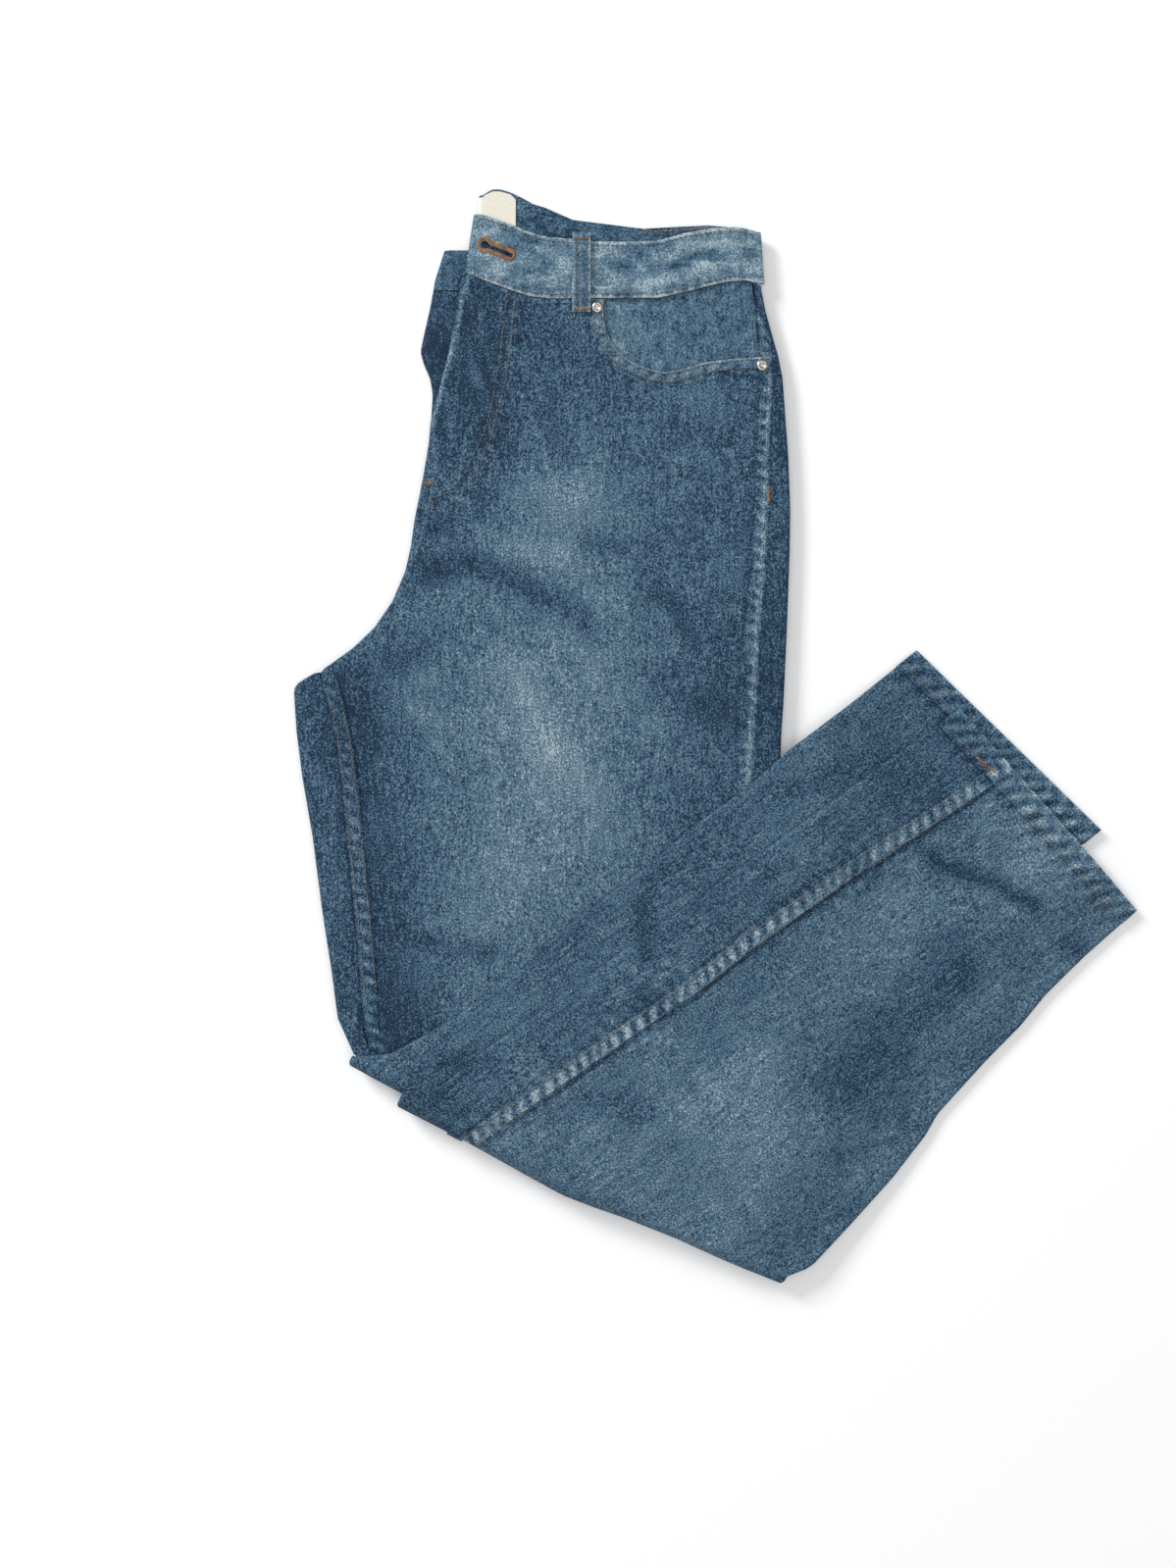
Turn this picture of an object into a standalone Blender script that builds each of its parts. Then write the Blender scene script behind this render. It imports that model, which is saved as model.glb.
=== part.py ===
"""Mom jeans, folded in half down the middle and again at the knee, lying flat on a surface.

The wearer's left half lies on the right half, with the front up. Both lower legs are folded
over towards the upper right, so the wearer's right lower leg is on top.

Sizes are in millimetres here and become metres in the meshes. X is to the right and Y towards
the waist, as seen from above, and Z is up from the surface that the jeans rest on.
Along a folded lower leg, s is measured towards the hem and q across it, down to the right.
"""
import bpy
import bmesh
import numpy as np
from math import cos, sin, pi, radians, hypot

# Driving sizes, in millimetres
METRE = 0.001
WALL = 1.5            # one layer of denim with its loft
GAP = 0.3             # between neighbouring pieces
LEG = 4.9             # a leg pressed flat, both panels
ROUND = LEG / 2       # radius of a leg's folded edge
LAYER = LEG + GAP     # one leg and the gap above it
LOFT = 0.8            # more room over and between the folded legs, which lie loosely

LEFT_Z = LAYER                      # underside of the left leg in the upper part
TOP_Z = LEFT_Z + LEG                # top of the left front
BAND_WALL = 2.5                     # a waistband, two layers
BAND_TOP_Z = TOP_Z + 1.1
BACK_BAND_Z = LEFT_Z                # underside of the back waistband
HEM_WIDTH = 16.0
HEM_RISE = 0.7
HEM_WALL = 2.2
INSEAM_WIDTH = 11.0
SEAM_RISE = 1.0

LEG_ANGLE = radians(35.5)           # the folded lower legs, from +X
FOLD_ANGLE = radians(27.53)         # the knee fold, below +X
FOLD_START = np.array([-244.4, -212.6])
FOLD_ALONG = np.array([cos(FOLD_ANGLE), -sin(FOLD_ANGLE)])
FOLD_OUT = np.array([-sin(FOLD_ANGLE), -cos(FOLD_ANGLE)])


def table(columns, *rows):
    """A short table with named columns, sorted by its first column."""
    data = np.array(sorted(rows), float)
    return {name: data[:, i] for i, name in enumerate(columns)}


def read(source, key, value, column):
    """The table's column at a value of its key, between rows by straight lines."""
    return float(np.interp(value, source[key], source[column]))


# Upper part: x of each edge and seam at a height y
OUTER_EDGE = table(("y", "x"), (323, -181), (304, -187), (284, -190.7), (271, -193.7), (256, -197),
                   (247, -194.5), (238, -190.5), (228, -188.8), (215, -189.5), (196, -191), (175, -194.5),
                   (157, -198), (143, -200.8), (126, -203.1), (110, -206.7), (90, -215.2), (72, -227.5),
                   (59, -241.2), (52, -250.9), (46, -259), (41, -269), (36, -277.6), (31, -280.8), (22, -280.2),
                   (4, -279), (-26, -275.3), (-66, -268.4), (-116, -261.9), (-153, -256.1), (-187, -251.6),
                   (-205, -250.2), (-213, -247))
FLY_EDGE = table(("y", "x"), (307, -166), (294, -169.2), (275, -173), (255.5, -177.5), (236, -182.7),
                 (217, -187.5), (205, -190.5))
INSEAM = table(("y", "x"), (46, -264), (29, -259.4), (13, -255.5), (-6, -251.8), (-32, -248.3), (-66, -245.1),
               (-107, -240.5), (-156, -236), (-189, -232.7), (-214, -229.5))
SIDE_SEAM = table(("y", "x"), (302, 21.4), (294, 23.2), (283, 25.4), (266, 34), (253, 35.6), (232, 35.6),
                  (211, 33.8), (159, 31.9), (123, 30.6), (89, 27.9), (54, 25.4), (21, 24.1), (3, 22.4), (-31, 20.2),
                  (-110, 6), (-334, -34))
RIGHT_EDGE = table(("y", "x"), (302, 29.2), (287, 29.6), (276, 32.3), (265, 36.4), (253, 40.6), (238, 43.6),
                   (220, 44.9), (185, 47.5), (150, 48.8), (123, 48.4), (71, 46.5), (21, 44.2), (3, 42.9),
                   (-20, 42), (-334, -12))
# Waist: y of each edge at a distance x
FRONT_SEAM = table(("x", "y"), (-167, 307.6), (-150, 300.9), (-136.5, 295.8), (-123.5, 291.7), (-110, 290.3),
                   (-59, 290.8), (-39, 290.8), (-22, 294.4), (-6, 298.7), (7.5, 301.6), (19, 302.4), (30, 299.5))
FRONT_TOP = table(("x", "y"), (-160, 346), (-156, 346), (-146.6, 343.3), (-135, 338.7), (-126, 334.8),
                  (-113, 330.9), (-97, 329.7), (-83, 328.1), (-59, 327.6), (-39, 328.5), (-22, 333.4), (-3, 336.7),
                  (11, 337.6), (19, 336.7), (27, 333.9), (30, 333.5))
BACK_TOP = table(("x", "y"), (-160, 355), (-154, 360.9), (-148.8, 363.4), (-143.7, 363.4), (-137, 361.4),
                 (-128.7, 357.5), (-122, 353.6), (-114, 351.3), (-103.4, 346.6), (-91.7, 341.4), (-84.5, 338),
                 (-70, 335.4), (-52, 335.1), (-47.5, 337.4), (-27, 338.5), (-6, 339.5), (10, 338.2), (27, 335.5))
# Pocket opening, from the waist seam to the side seam
POCKET = [(-75.2, 300), (-75, 288.5), (-75, 282), (-74.2, 273), (-71.5, 265), (-66, 256.5), (-58, 249.5), (-47, 244.6),
          (-34, 242), (-22, 244.3), (-9, 247.8), (6, 250), (22, 251.4), (34.5, 251.8)]
# Folded lower legs: q of an edge or seam at a distance s, and the corners' own s
LEFT_LEG_TOP = table(("s", "q"), (-322, 34), (-307, 42.6), (-299, 45), (-272, 48.4), (-243, 51), (-201, 47.2),
                     (-144, 44.1), (-88, 43), (-49, 39), (0, 38.8), (33, 34.8), (86, 33.6), (142, 30.8))
LEFT_LEG_LOW = table(("s", "q"), (-204, 264), (-100, 240), (0, 218), (100, 203), (172, 199))
RIGHT_LEG_TOP = table(("s", "q"), (-306, 83), (-240, 79), (-100, 79), (141, 78.5))
RIGHT_LEG_LOW = table(("s", "q"), (-175, 321), (-150, 322), (-113, 315), (-75, 307), (-41, 297), (-26, 290),
                      (20, 280), (54, 274), (78, 267.3), (114, 261.5), (160, 256.5))
RIGHT_INSEAM = table(("s", "q"), (-306, 117), (-182, 118), (-111, 119.5), (-67, 116.8), (13, 117.6),
                     (56, 119.5), (100, 121.5), (150, 121.5))
# Knee fold: the right leg's outline beyond the fold's base line, and the left leg's tangent line
RIGHT_FOLD = table(("a", "out"), (40, 13.5), (100, 13.4), (140, 14.6), (168, 15.2), (190, 12.8), (210, 9.8),
                   (247, 6), (275, 4.5), (299, 3.1), (326, 0.6))
LEFT_FOLD = table(("a", "out"), (0, -2.2), (30, -1.6), (150, -1.6), (200, -2.2), (247, -5.2), (263, -6))

# Colours, as the worn denim shows them
COLOURS = {
    "denim": (0.085, 0.145, 0.195),
    "denim_dark": (0.05, 0.095, 0.14),
    "denim_worn": (0.14, 0.21, 0.26),
    "woven_label": (0.74, 0.73, 0.66),
    "nickel": (0.62, 0.61, 0.58),
}


def smooth(value):
    """0 below 0, 1 above 1, and a soft curve between."""
    t = min(1.0, max(0.0, value))
    return t * t * (3 - 2 * t)


def leg_xy(s, q):
    """The place of a point given along and across the folded lower legs."""
    return np.array([s * cos(LEG_ANGLE) + q * sin(LEG_ANGLE), s * sin(LEG_ANGLE) - q * cos(LEG_ANGLE)])


def leg_sq(x, y):
    return x * cos(LEG_ANGLE) + y * sin(LEG_ANGLE), x * sin(LEG_ANGLE) - y * cos(LEG_ANGLE)


def fold_xy(a, out):
    """The place of a point a along the knee fold's base line and out beyond it."""
    return FOLD_START + FOLD_ALONG * a + FOLD_OUT * out


# What lies under the folded legs
def stack_height(x, y):
    """Height on which the folded left leg lies, which sinks to the surface past each leg's edge."""
    reach, right_limit, clear = 100.0, 47.0, 7.0
    left_limit = read(RIGHT_EDGE, "y", y, "x") + clear
    on_left = 1 - smooth((x - left_limit) / reach)
    on_right = 1 - smooth((x - right_limit) / reach)
    height = (LAYER + LOFT / 2) * (on_left + on_right)
    s, q = leg_sq(x, y)
    seam_lift = 1.5 * smooth((-250 - s) / 30) * (1 - smooth((q - 70) / 30))
    return height + seam_lift


def left_cover(x, y):
    """1 where the folded left leg lies under the right one, 0 well outside it."""
    s, q = leg_sq(x, y)
    clear, reach = 10.0, 45.0
    return 1 - smooth((q - read(LEFT_LEG_LOW, "s", s, "q") - clear) / reach)


def left_leg_top(x, y):
    return stack_height(x, y) + LEG


def right_leg_top(x, y):
    s, _ = leg_sq(x, y)
    hem_lift = 0.9 * smooth((s - 90) / 40)
    return stack_height(x, y) + left_cover(x, y) * (LAYER + LOFT + hem_lift) + LEG


class Row:
    """One section across a leg: w runs across from the left or upper edge, h through the leg."""

    def __init__(self, left, right, seam, side):
        self.left, self.right = np.array(left, float), np.array(right, float)
        self.width = hypot(*(self.right - self.left))
        self.seam, self.side = seam, side

    def plan(self, w):
        return self.left + (self.right - self.left) * (w / self.width)


class UpperRow(Row):
    """A section of the upper part, with h upwards."""
    base = LEFT_Z
    bend = None

    def place(self, w, h):
        x, y = self.plan(w)
        if self.bend:
            y += self.bend(x, h)
        return x, y, self.base + h


class FoldedRow(Row):
    """A section of a folded lower leg, with h downwards from its top."""

    def __init__(self, left, right, seam, side, top):
        super().__init__(left, right, seam, side)
        self.top = top

    def place(self, w, h):
        x, y = self.plan(w)
        return x, y, self.top(x, y) - h


class WrapRow(FoldedRow):
    """A section in the knee fold's roll, turned from the folded leg's top towards the surface."""

    def __init__(self, left, right, seam, side, top, turn, bottom):
        super().__init__(left, right, seam, side, top)
        self.turn, self.bottom = radians(turn), bottom

    def place(self, w, h):
        x, y = self.plan(w)
        radius = (self.top(x, y) - self.bottom) / 2
        out = FOLD_OUT * (radius - h) * sin(self.turn)
        return x + out[0], y + out[1], self.bottom + radius + (radius - h) * cos(self.turn)


# The flattened leg's outline: p runs from the left edge over the far side, where h is LEG
QUARTER = pi * ROUND / 2


def outline(width, p):
    """Point (w, h) and outward direction at a length p along the outline."""
    flat = width - 2 * ROUND
    p %= 4 * QUARTER + 2 * flat
    if p < QUARTER:
        a = p / ROUND
        return ROUND - ROUND * cos(a), ROUND + ROUND * sin(a), -cos(a), sin(a)
    if p < QUARTER + flat:
        return ROUND + p - QUARTER, LEG, 0.0, 1.0
    if p < 3 * QUARTER + flat:
        a = (p - QUARTER - flat) / ROUND
        return width - ROUND + ROUND * sin(a), ROUND + ROUND * cos(a), sin(a), cos(a)
    if p < 3 * QUARTER + 2 * flat:
        return width - ROUND - (p - 3 * QUARTER - flat), 0.0, 0.0, -1.0
    a = (p - 3 * QUARTER - 2 * flat) / ROUND
    return ROUND - ROUND * sin(a), ROUND - ROUND * cos(a), -sin(a), -cos(a)


def far_side(w):
    """Length p of a point w across on the side where h is LEG."""
    return max(0.0, QUARTER + w - ROUND)


def near_side(width, w):
    """Length p of a point w across on the side where h is 0."""
    return 3 * QUARTER + (width - 2 * ROUND) + (width - ROUND - w)


def around(width):
    return 4 * QUARTER + 2 * (width - 2 * ROUND)


def spread(start, end, nominal, least=0.35):
    """Lengths from start to end through the nominal ones, never closer than least."""
    inner = sorted(nominal)
    count = len(inner)
    result = [start]
    for i, p in enumerate(inner):
        p = max(p, start + least * (i + 1))
        result.append(min(p, end - least * (count - i)))
    return result + [end]


def edge_lengths(centre, steps=4):
    """Lengths round one rounded edge, whose middle is at centre."""
    return [centre + QUARTER * (2 * i / steps - 1) for i in range(steps + 1)]


# Making objects
def material(name):
    """The part's material in one colour."""
    found = bpy.data.materials.get(name)
    if found:
        return found
    made = bpy.data.materials.new(name)
    made.use_nodes = True
    shader = made.node_tree.nodes["Principled BSDF"]
    shader.inputs["Base Color"].default_value = (*COLOURS[name], 1)
    shader.inputs["Metallic"].default_value = 1.0 if name == "nickel" else 0.0
    shader.inputs["Roughness"].default_value = 0.35 if name == "nickel" else 0.9
    return made


def add_object(name, points, faces, slot, group):
    """A closed mesh from points in millimetres, with its faces turned outwards."""
    mesh = bpy.data.meshes.new(name)
    mesh.from_pydata([tuple(c * METRE for c in p) for p in points], [], faces)
    shape = bmesh.new()
    shape.from_mesh(mesh)
    bmesh.ops.recalc_face_normals(shape, faces=shape.faces)
    shape.to_mesh(mesh)
    shape.free()
    mesh.shade_smooth()
    mesh.set_sharp_from_angle(angle=radians(40))
    made = bpy.data.objects.new(name, mesh)
    made.data.materials.append(material(slot))
    group.objects.link(made)
    return made


def loft_wall(name, outer, inner, slot, group, closed=False):
    """A wall between two grids of points; closed joins each row's ends into a ring."""
    rows, columns = len(outer), len(outer[0])
    points = [p for row in outer for p in row] + [p for row in inner for p in row]
    start = rows * columns
    faces = []
    spans = columns if closed else columns - 1
    for i in range(rows - 1):
        for j in range(spans):
            k = (j + 1) % columns
            quad = [i * columns + j, i * columns + k, (i + 1) * columns + k, (i + 1) * columns + j]
            faces.append(quad)
            faces.append([start + v for v in reversed(quad)])
    for i in (0, rows - 1):
        for j in range(spans):
            k = (j + 1) % columns
            faces.append([i * columns + j, i * columns + k, start + i * columns + k, start + i * columns + j])
    if not closed:
        for j in (0, columns - 1):
            for i in range(rows - 1):
                a, b = i * columns + j, (i + 1) * columns + j
                faces.append([a, b, start + b, start + a])
    return add_object(name, points, faces, slot, group)


def loft_solid(name, rings, slot, group):
    """A solid through closed rings of points, with flat ends."""
    count = len(rings[0])
    points = [p for ring in rings for p in ring]
    faces = [list(range(count)), [(len(rings) - 1) * count + j for j in range(count)]]
    for i in range(len(rings) - 1):
        for j in range(count):
            k = (j + 1) % count
            faces.append([i * count + j, i * count + k, (i + 1) * count + k, (i + 1) * count + j])
    return add_object(name, points, faces, slot, group)


def panel(name, rows, lengths, slot, group, rise=0.0, wall=WALL, closed=False, even=True):
    """A cloth wall over the rows, at the outline's lengths that the function lengths gives.

    rise moves its outer face out from the leg's outline; where even is False the rise fades
    to nothing on the far side, so the leg's underside stays flat.
    """
    outer, inner = [], []
    for row in rows:
        outer_row, inner_row = [], []
        for p in lengths(row):
            w, h, out_w, out_h = outline(row.width, p)
            lift = rise if even else rise * (1 - h / LEG)
            outer_row.append(row.place(w + out_w * lift, h + out_h * lift))
            inner_row.append(row.place(w + out_w * (lift - wall), h + out_h * (lift - wall)))
        outer.append(outer_row)
        inner.append(inner_row)
    return loft_wall(name, outer, inner, slot, group, closed)


# Sections of the left half's upper part
def front_bend(x, h):
    return read(FRONT_SEAM, "x", x, "y") - 2 * GAP - WAIST_Y


def back_bottom(x):
    """Lower edge of the back waistband, a straight seam."""
    return 297.5 + (30 - x) * 0.108


def back_bend(x, h):
    if h > ROUND:
        return front_bend(x, h)
    return back_bottom(x) - 2 * GAP - WAIST_Y


WAIST_Y = 290.0
# Heights y of the sections at the left and at the right edge
UPPER_HEIGHTS = [(290, 290), (268, 268), (250, 250), (232, 232), (214, 214), (196, 196), (168, 168), (140, 140),
                 (110, 110), (84, 84), (64, 64), (52, 52), (45, 45), (39, 39), (33, 33), (24, 24), (4, 4),
                 (-26, -26), (-66, -80), (-116, -145), (-153, -205), (-187, -275)]


def upper_rows(bend, front):
    """The left leg's sections from the waist to the knee fold."""
    rows = []
    fly_foot = 210.0
    crotch = 45.0
    for left_y, right_y in UPPER_HEIGHTS:
        on_fly = left_y > fly_foot
        edge = read(FLY_EDGE, "y", left_y, "x") - ROUND if on_fly else read(OUTER_EDGE, "y", left_y, "x")
        if not front and left_y > crotch:
            edge = read(OUTER_EDGE, "y", left_y, "x") + 9
        right = read(RIGHT_EDGE, "y", right_y, "x")
        seam = read(INSEAM, "y", left_y, "x") - edge if left_y < crotch else 0.0
        if on_fly and front:
            seam = ROUND
        side = read(SIDE_SEAM, "y", right_y, "x") - edge
        row = UpperRow((edge, left_y), (right, right_y), seam, side)
        rows.append(row)
    rows[0].bend = bend
    half_way = rows[1]
    half_way.bend = lambda x, h: 0.4 * bend(x, h)
    left, right = fold_xy(2, read(LEFT_FOLD, "a", 2, "out")), fold_xy(262, read(LEFT_FOLD, "a", 262, "out"))
    rows.append(FoldEnd(left, right, 16.0, 262 - 24, LEFT_FOLD))
    return rows


class FoldEnd(UpperRow):
    """The last upper section, along the knee fold's own curved line."""

    def __init__(self, left, right, seam, side, curve):
        super().__init__(left, right, seam, side)
        self.curve = curve

    def plan(self, w):
        along = w / self.width
        a = float(np.dot(self.left + (self.right - self.left) * along - FOLD_START, FOLD_ALONG))
        return fold_xy(a, read(self.curve, "a", a, "out") - 4 * GAP)


def left_front_lengths(row):
    start, end = far_side(row.seam) if row.seam else 0.0, far_side(row.side)
    flat = [start + (end - start) * f for f in (0.04, 0.09, 0.15, 0.22, 0.31, 0.42, 0.54, 0.66, 0.78, 0.9)]
    return spread(start, end, [1.3, 2.6, QUARTER] + flat)


def left_back_lengths(row):
    start = far_side(row.side) + GAP
    end = around(row.width) + (far_side(row.seam) if row.seam else 0.0) - 3 * GAP
    if row.back_end is not None:
        end = row.back_end
    right_edge = QUARTER + (row.width - 2 * ROUND) + QUARTER
    bottom = [near_side(row.width, row.width * f) for f in (0.88, 0.7, 0.5, 0.3, 0.12)]
    return spread(start, end, edge_lengths(right_edge) + bottom + edge_lengths(around(row.width)))


# Sections of the folded lower legs
def leg_rows(top_edge, low_edge, starts, ends, count, seam_table, top, shares=None):
    """Sections from the fold to the hem; starts and ends give s at the upper and lower edge."""
    rows = []
    for i in range(count + 1):
        f = i / count
        s_top = starts[0] + (ends[0] - starts[0]) * f
        s_low = starts[1] + (ends[1] - starts[1]) * f
        q_top, q_low = read(top_edge, "s", s_top, "q"), read(low_edge, "s", s_low, "q")
        left, right = leg_xy(s_top, q_top), leg_xy(s_low, q_low)
        width = hypot(*(right - left))
        seam = width * (read(seam_table, "s", s_top, "q") - q_top) / (q_low - q_top) if seam_table else 0.0
        rows.append(FoldedRow(left, right, seam, width, top))
    return rows


class WrapLine(WrapRow):
    """A section of the roll, along the knee fold's curved line."""

    def __init__(self, a_start, a_end, seam, top, turn, bottom, tangent):
        left, right = tangent(a_start), tangent(a_end)
        super().__init__(left, right, seam, 0.0, top, turn, bottom)
        self.a_start, self.a_end, self.tangent = a_start, a_end, tangent

    def plan(self, w):
        return self.tangent(self.a_start + (self.a_end - self.a_start) * w / self.width)


def left_tangent(a):
    return fold_xy(a, read(LEFT_FOLD, "a", a, "out"))


def right_tangent(a):
    """The line where the right leg's roll begins, one roll radius inside its outline."""
    out = read(RIGHT_FOLD, "a", a, "out")
    x, y = fold_xy(a, out - 10)
    return fold_xy(a, out - right_leg_top(x, y) / 2)


def wrap_rows(a_start, a_end, seam, top, bottom, tangent, turns):
    return [WrapLine(a_start, a_end, seam, top, turn, bottom, tangent) for turn in turns]


def hem_rows(rows, width):
    """Splits the last stretch of a leg's sections into the panel and the hem."""
    last, before = rows[-1], rows[-2]

    def between(back):
        length = hypot(*((last.left + last.right - before.left - before.right) / 2))
        f = back / length
        left = last.left + (before.left - last.left) * f
        right = last.right + (before.right - last.right) * f
        seam = last.seam + (before.seam - last.seam) * f
        return FoldedRow(left, right, seam, hypot(*(right - left)), last.top)

    panel_end = between(width + GAP)
    return rows[:-1] + [panel_end], [between(width), between(width / 2), last]


ACROSS = (0.1, 0.22, 0.34, 0.46, 0.58, 0.68, 0.78, 0.87, 0.94)


def left_lower_back(row):
    """The back panel: over the top, where h is 0, and round both edges."""
    start = QUARTER + (row.width - 2 * ROUND) + QUARTER
    end = around(row.width)
    top = [near_side(row.width, row.width * f) for f in ACROSS]
    quarter = [start + 1.3, start + 2.6, start + QUARTER, end - QUARTER, end - 2.6, end - 1.3]
    return spread(start, end, quarter + top)


def left_lower_front(row):
    """The front panel, underneath, where h is LEG."""
    start, end = GAP, 2 * QUARTER + (row.width - 2 * ROUND) - GAP
    flat = [far_side(row.width * f) for f in ACROSS]
    return spread(start, end, [1.3, 2.6, QUARTER, end - QUARTER + GAP, end - 2.6, end - 1.3] + flat)


def right_lower_front(row):
    """The front panel on top, from the inseam to the lower edge."""
    start = QUARTER + (row.width - 2 * ROUND) + QUARTER
    end = near_side(row.width, row.seam)
    span = end - start
    top = [start + span * f for f in (0.08, 0.16, 0.28, 0.42, 0.56, 0.7, 0.84)] + [end - INSEAM_WIDTH]
    return spread(start, end, [start + 1.3, start + 2.6, start + QUARTER] + top)


def right_lower_back(row):
    """The back panel: the strip above the inseam, the upper edge and the whole underside."""
    start = near_side(row.width, row.seam) + GAP
    end = around(row.width) + QUARTER + (row.width - 2 * ROUND) + QUARTER - 2 * GAP
    upper = edge_lengths(around(row.width))
    flat = [around(row.width) + far_side(row.width * f) for f in ACROSS]
    return spread(start, end, [start + 12, start + 24] + upper + flat + [end - 3.8, end - 2.6, end - 1.3])


def inseam_on(side):
    """The felled seam's own strip, over the parting of two panels."""
    def lengths(row):
        if side == "far":
            start = far_side(row.seam) - 0.5
        else:
            start = near_side(row.width, row.seam) + 0.5 - INSEAM_WIDTH
        return [start, start + INSEAM_WIDTH / 2, start + INSEAM_WIDTH]
    return lengths


def whole_ring(row):
    flat = row.width - 2 * ROUND
    lengths = edge_lengths(0.0)[:-1] + [QUARTER + flat * f for f in (0, 0.33, 0.67)]
    lengths += edge_lengths(2 * QUARTER + flat)[:-1]
    return lengths + [3 * QUARTER + flat + flat * f for f in (0, 0.17, 0.33, 0.5, 0.67, 0.83)]


# The pieces
def make_left_panels(group):
    fronts = upper_rows(front_bend, True)
    front = panel("left_front", fronts, left_front_lengths, "denim", group)
    backs = upper_rows(back_bend, False)
    for row in backs:
        row.back_end = None
        if row.seam == 0.0:
            row.back_end = near_side(row.width, ROUND + 1)
    panel("left_back", backs, left_back_lengths, "denim_dark", group)
    seam_rows = [row for row in fronts[:-1] if row.left[1] < 40]
    panel("left_inseam", seam_rows, inseam_on("far"), "denim_dark", group, rise=GAP + SEAM_RISE, wall=SEAM_RISE)
    return front


def make_left_lower(group):
    folded = leg_rows(LEFT_LEG_TOP, LEFT_LEG_LOW, (-322, -204), (141.7, 172), 20, None, left_leg_top)
    folded, hem = hem_rows(folded, HEM_WIDTH)
    wrap = wrap_rows(2, 262, 0.0, left_leg_top, LEFT_Z, left_tangent, (178, 145, 110, 75, 40, 0))
    rows = wrap + folded[1:]
    panel("left_back_lower", rows, left_lower_back, "denim_dark", group)
    panel("left_front_lower", rows, left_lower_front, "denim", group)
    panel("left_hem", hem, whole_ring, "denim_dark", group, rise=HEM_RISE, wall=HEM_WALL, closed=True, even=False)


def make_right_lower(group):
    folded = leg_rows(RIGHT_LEG_TOP, RIGHT_LEG_LOW, (-306, -175), (141.5, 160.5), 20, RIGHT_INSEAM, right_leg_top)
    folded, hem = hem_rows(folded, HEM_WIDTH)
    seam = folded[0].seam
    wrap = wrap_rows(43, 325, seam, right_leg_top, 0.0, right_tangent, (178, 150, 125, 100, 75, 50, 25, 0))
    rows = wrap + folded[1:]
    panel("right_front_lower", rows, right_lower_front, "denim", group)
    panel("right_back_lower", rows, right_lower_back, "denim_dark", group)
    panel("right_inseam", rows[2:], inseam_on("near"), "denim_dark", group, rise=GAP + SEAM_RISE, wall=SEAM_RISE)
    panel("right_hem", hem, whole_ring, "denim_dark", group, rise=HEM_RISE, wall=HEM_WALL, closed=True, even=False)


# Half sections of the right half beneath: left x and y, right x and y
HIDDEN_ROWS = [(-146, 350, 20, 329), (-150, 317, 24, 314), (-174, 312, 26, 307), (-179.5, 296, 28, 292), (-186.5, 271, 32, 271),
               (-189.5, 256, 38.5, 253), (-183, 238, 42, 235), (-181.5, 222, 43.5, 215), (-184, 196, 45.5, 185),
               (-190, 156, 47.3, 150), (-195.5, 126, 47, 123), (-200, 108, 46, 100), (-208, 90, 45.3, 71),
               (-220.5, 72, 44, 55), (-234, 59, 43.5, 45), (-252, 46, 43, 35), (-266, 36, 43, 25),
               (-273, 25, 42.5, 12), (-267, -26, 41.8, -20), (-259, -66, 41.5, -70), (-247, -116, 42.5, -130),
               (-234, -160, 43.5, -195), (-221, -200, 44.4, -280)]


def make_hidden_layers(group):
    """The right half beneath, with the layers that nothing shows, as one rounded solid."""
    rings = []
    rows = [UpperRow((x0, y0), (x1, y1), 0, 0) for x0, y0, x1, y1 in HIDDEN_ROWS]
    a_start, a_end, clear = 43.0, 325.0, 5.0
    end = FoldEnd(right_tangent(a_start), right_tangent(a_end), 0, 0, RIGHT_FOLD)
    end.plan = lambda w: right_tangent(a_start + (a_end - a_start) * w / end.width) - FOLD_OUT * clear
    for row in rows + [end]:
        row.base = 0.0
        lengths = edge_lengths(0.0)[:-1]
        flat = row.width - 2 * ROUND
        lengths += [QUARTER + flat * f for f in (0, 0.25, 0.5, 0.75)]
        lengths += edge_lengths(2 * QUARTER + flat)[:-1]
        lengths += [3 * QUARTER + flat + flat * f for f in (0, 0.25, 0.5, 0.75)]
        rings.append([row.place(*outline(row.width, p)[:2]) for p in lengths])
    loft_solid("hidden_layers", rings, "denim_dark", group)


def roll_section(x_edge, x_inner, y, start, wall, top):
    """Outer and inner points from under the fly round the left edge to the surface."""
    half_width, half_height = 5.5, top / 2
    outer, inner = [], []
    if x_inner is not None:
        outer.append((x_inner, y, top))
        inner.append((x_inner, y, top - wall))
    steps = 7
    for i in range(steps + 1):
        a = radians(start - (90 + start) * i / steps)
        outer.append((x_edge + half_width - half_width * cos(a), y, half_height + half_height * sin(a)))
        in_width, in_height = half_width - wall, half_height - wall
        inner.append((x_edge + half_width - in_width * cos(a), y, half_height + in_height * sin(a)))
    return outer, inner


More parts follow.
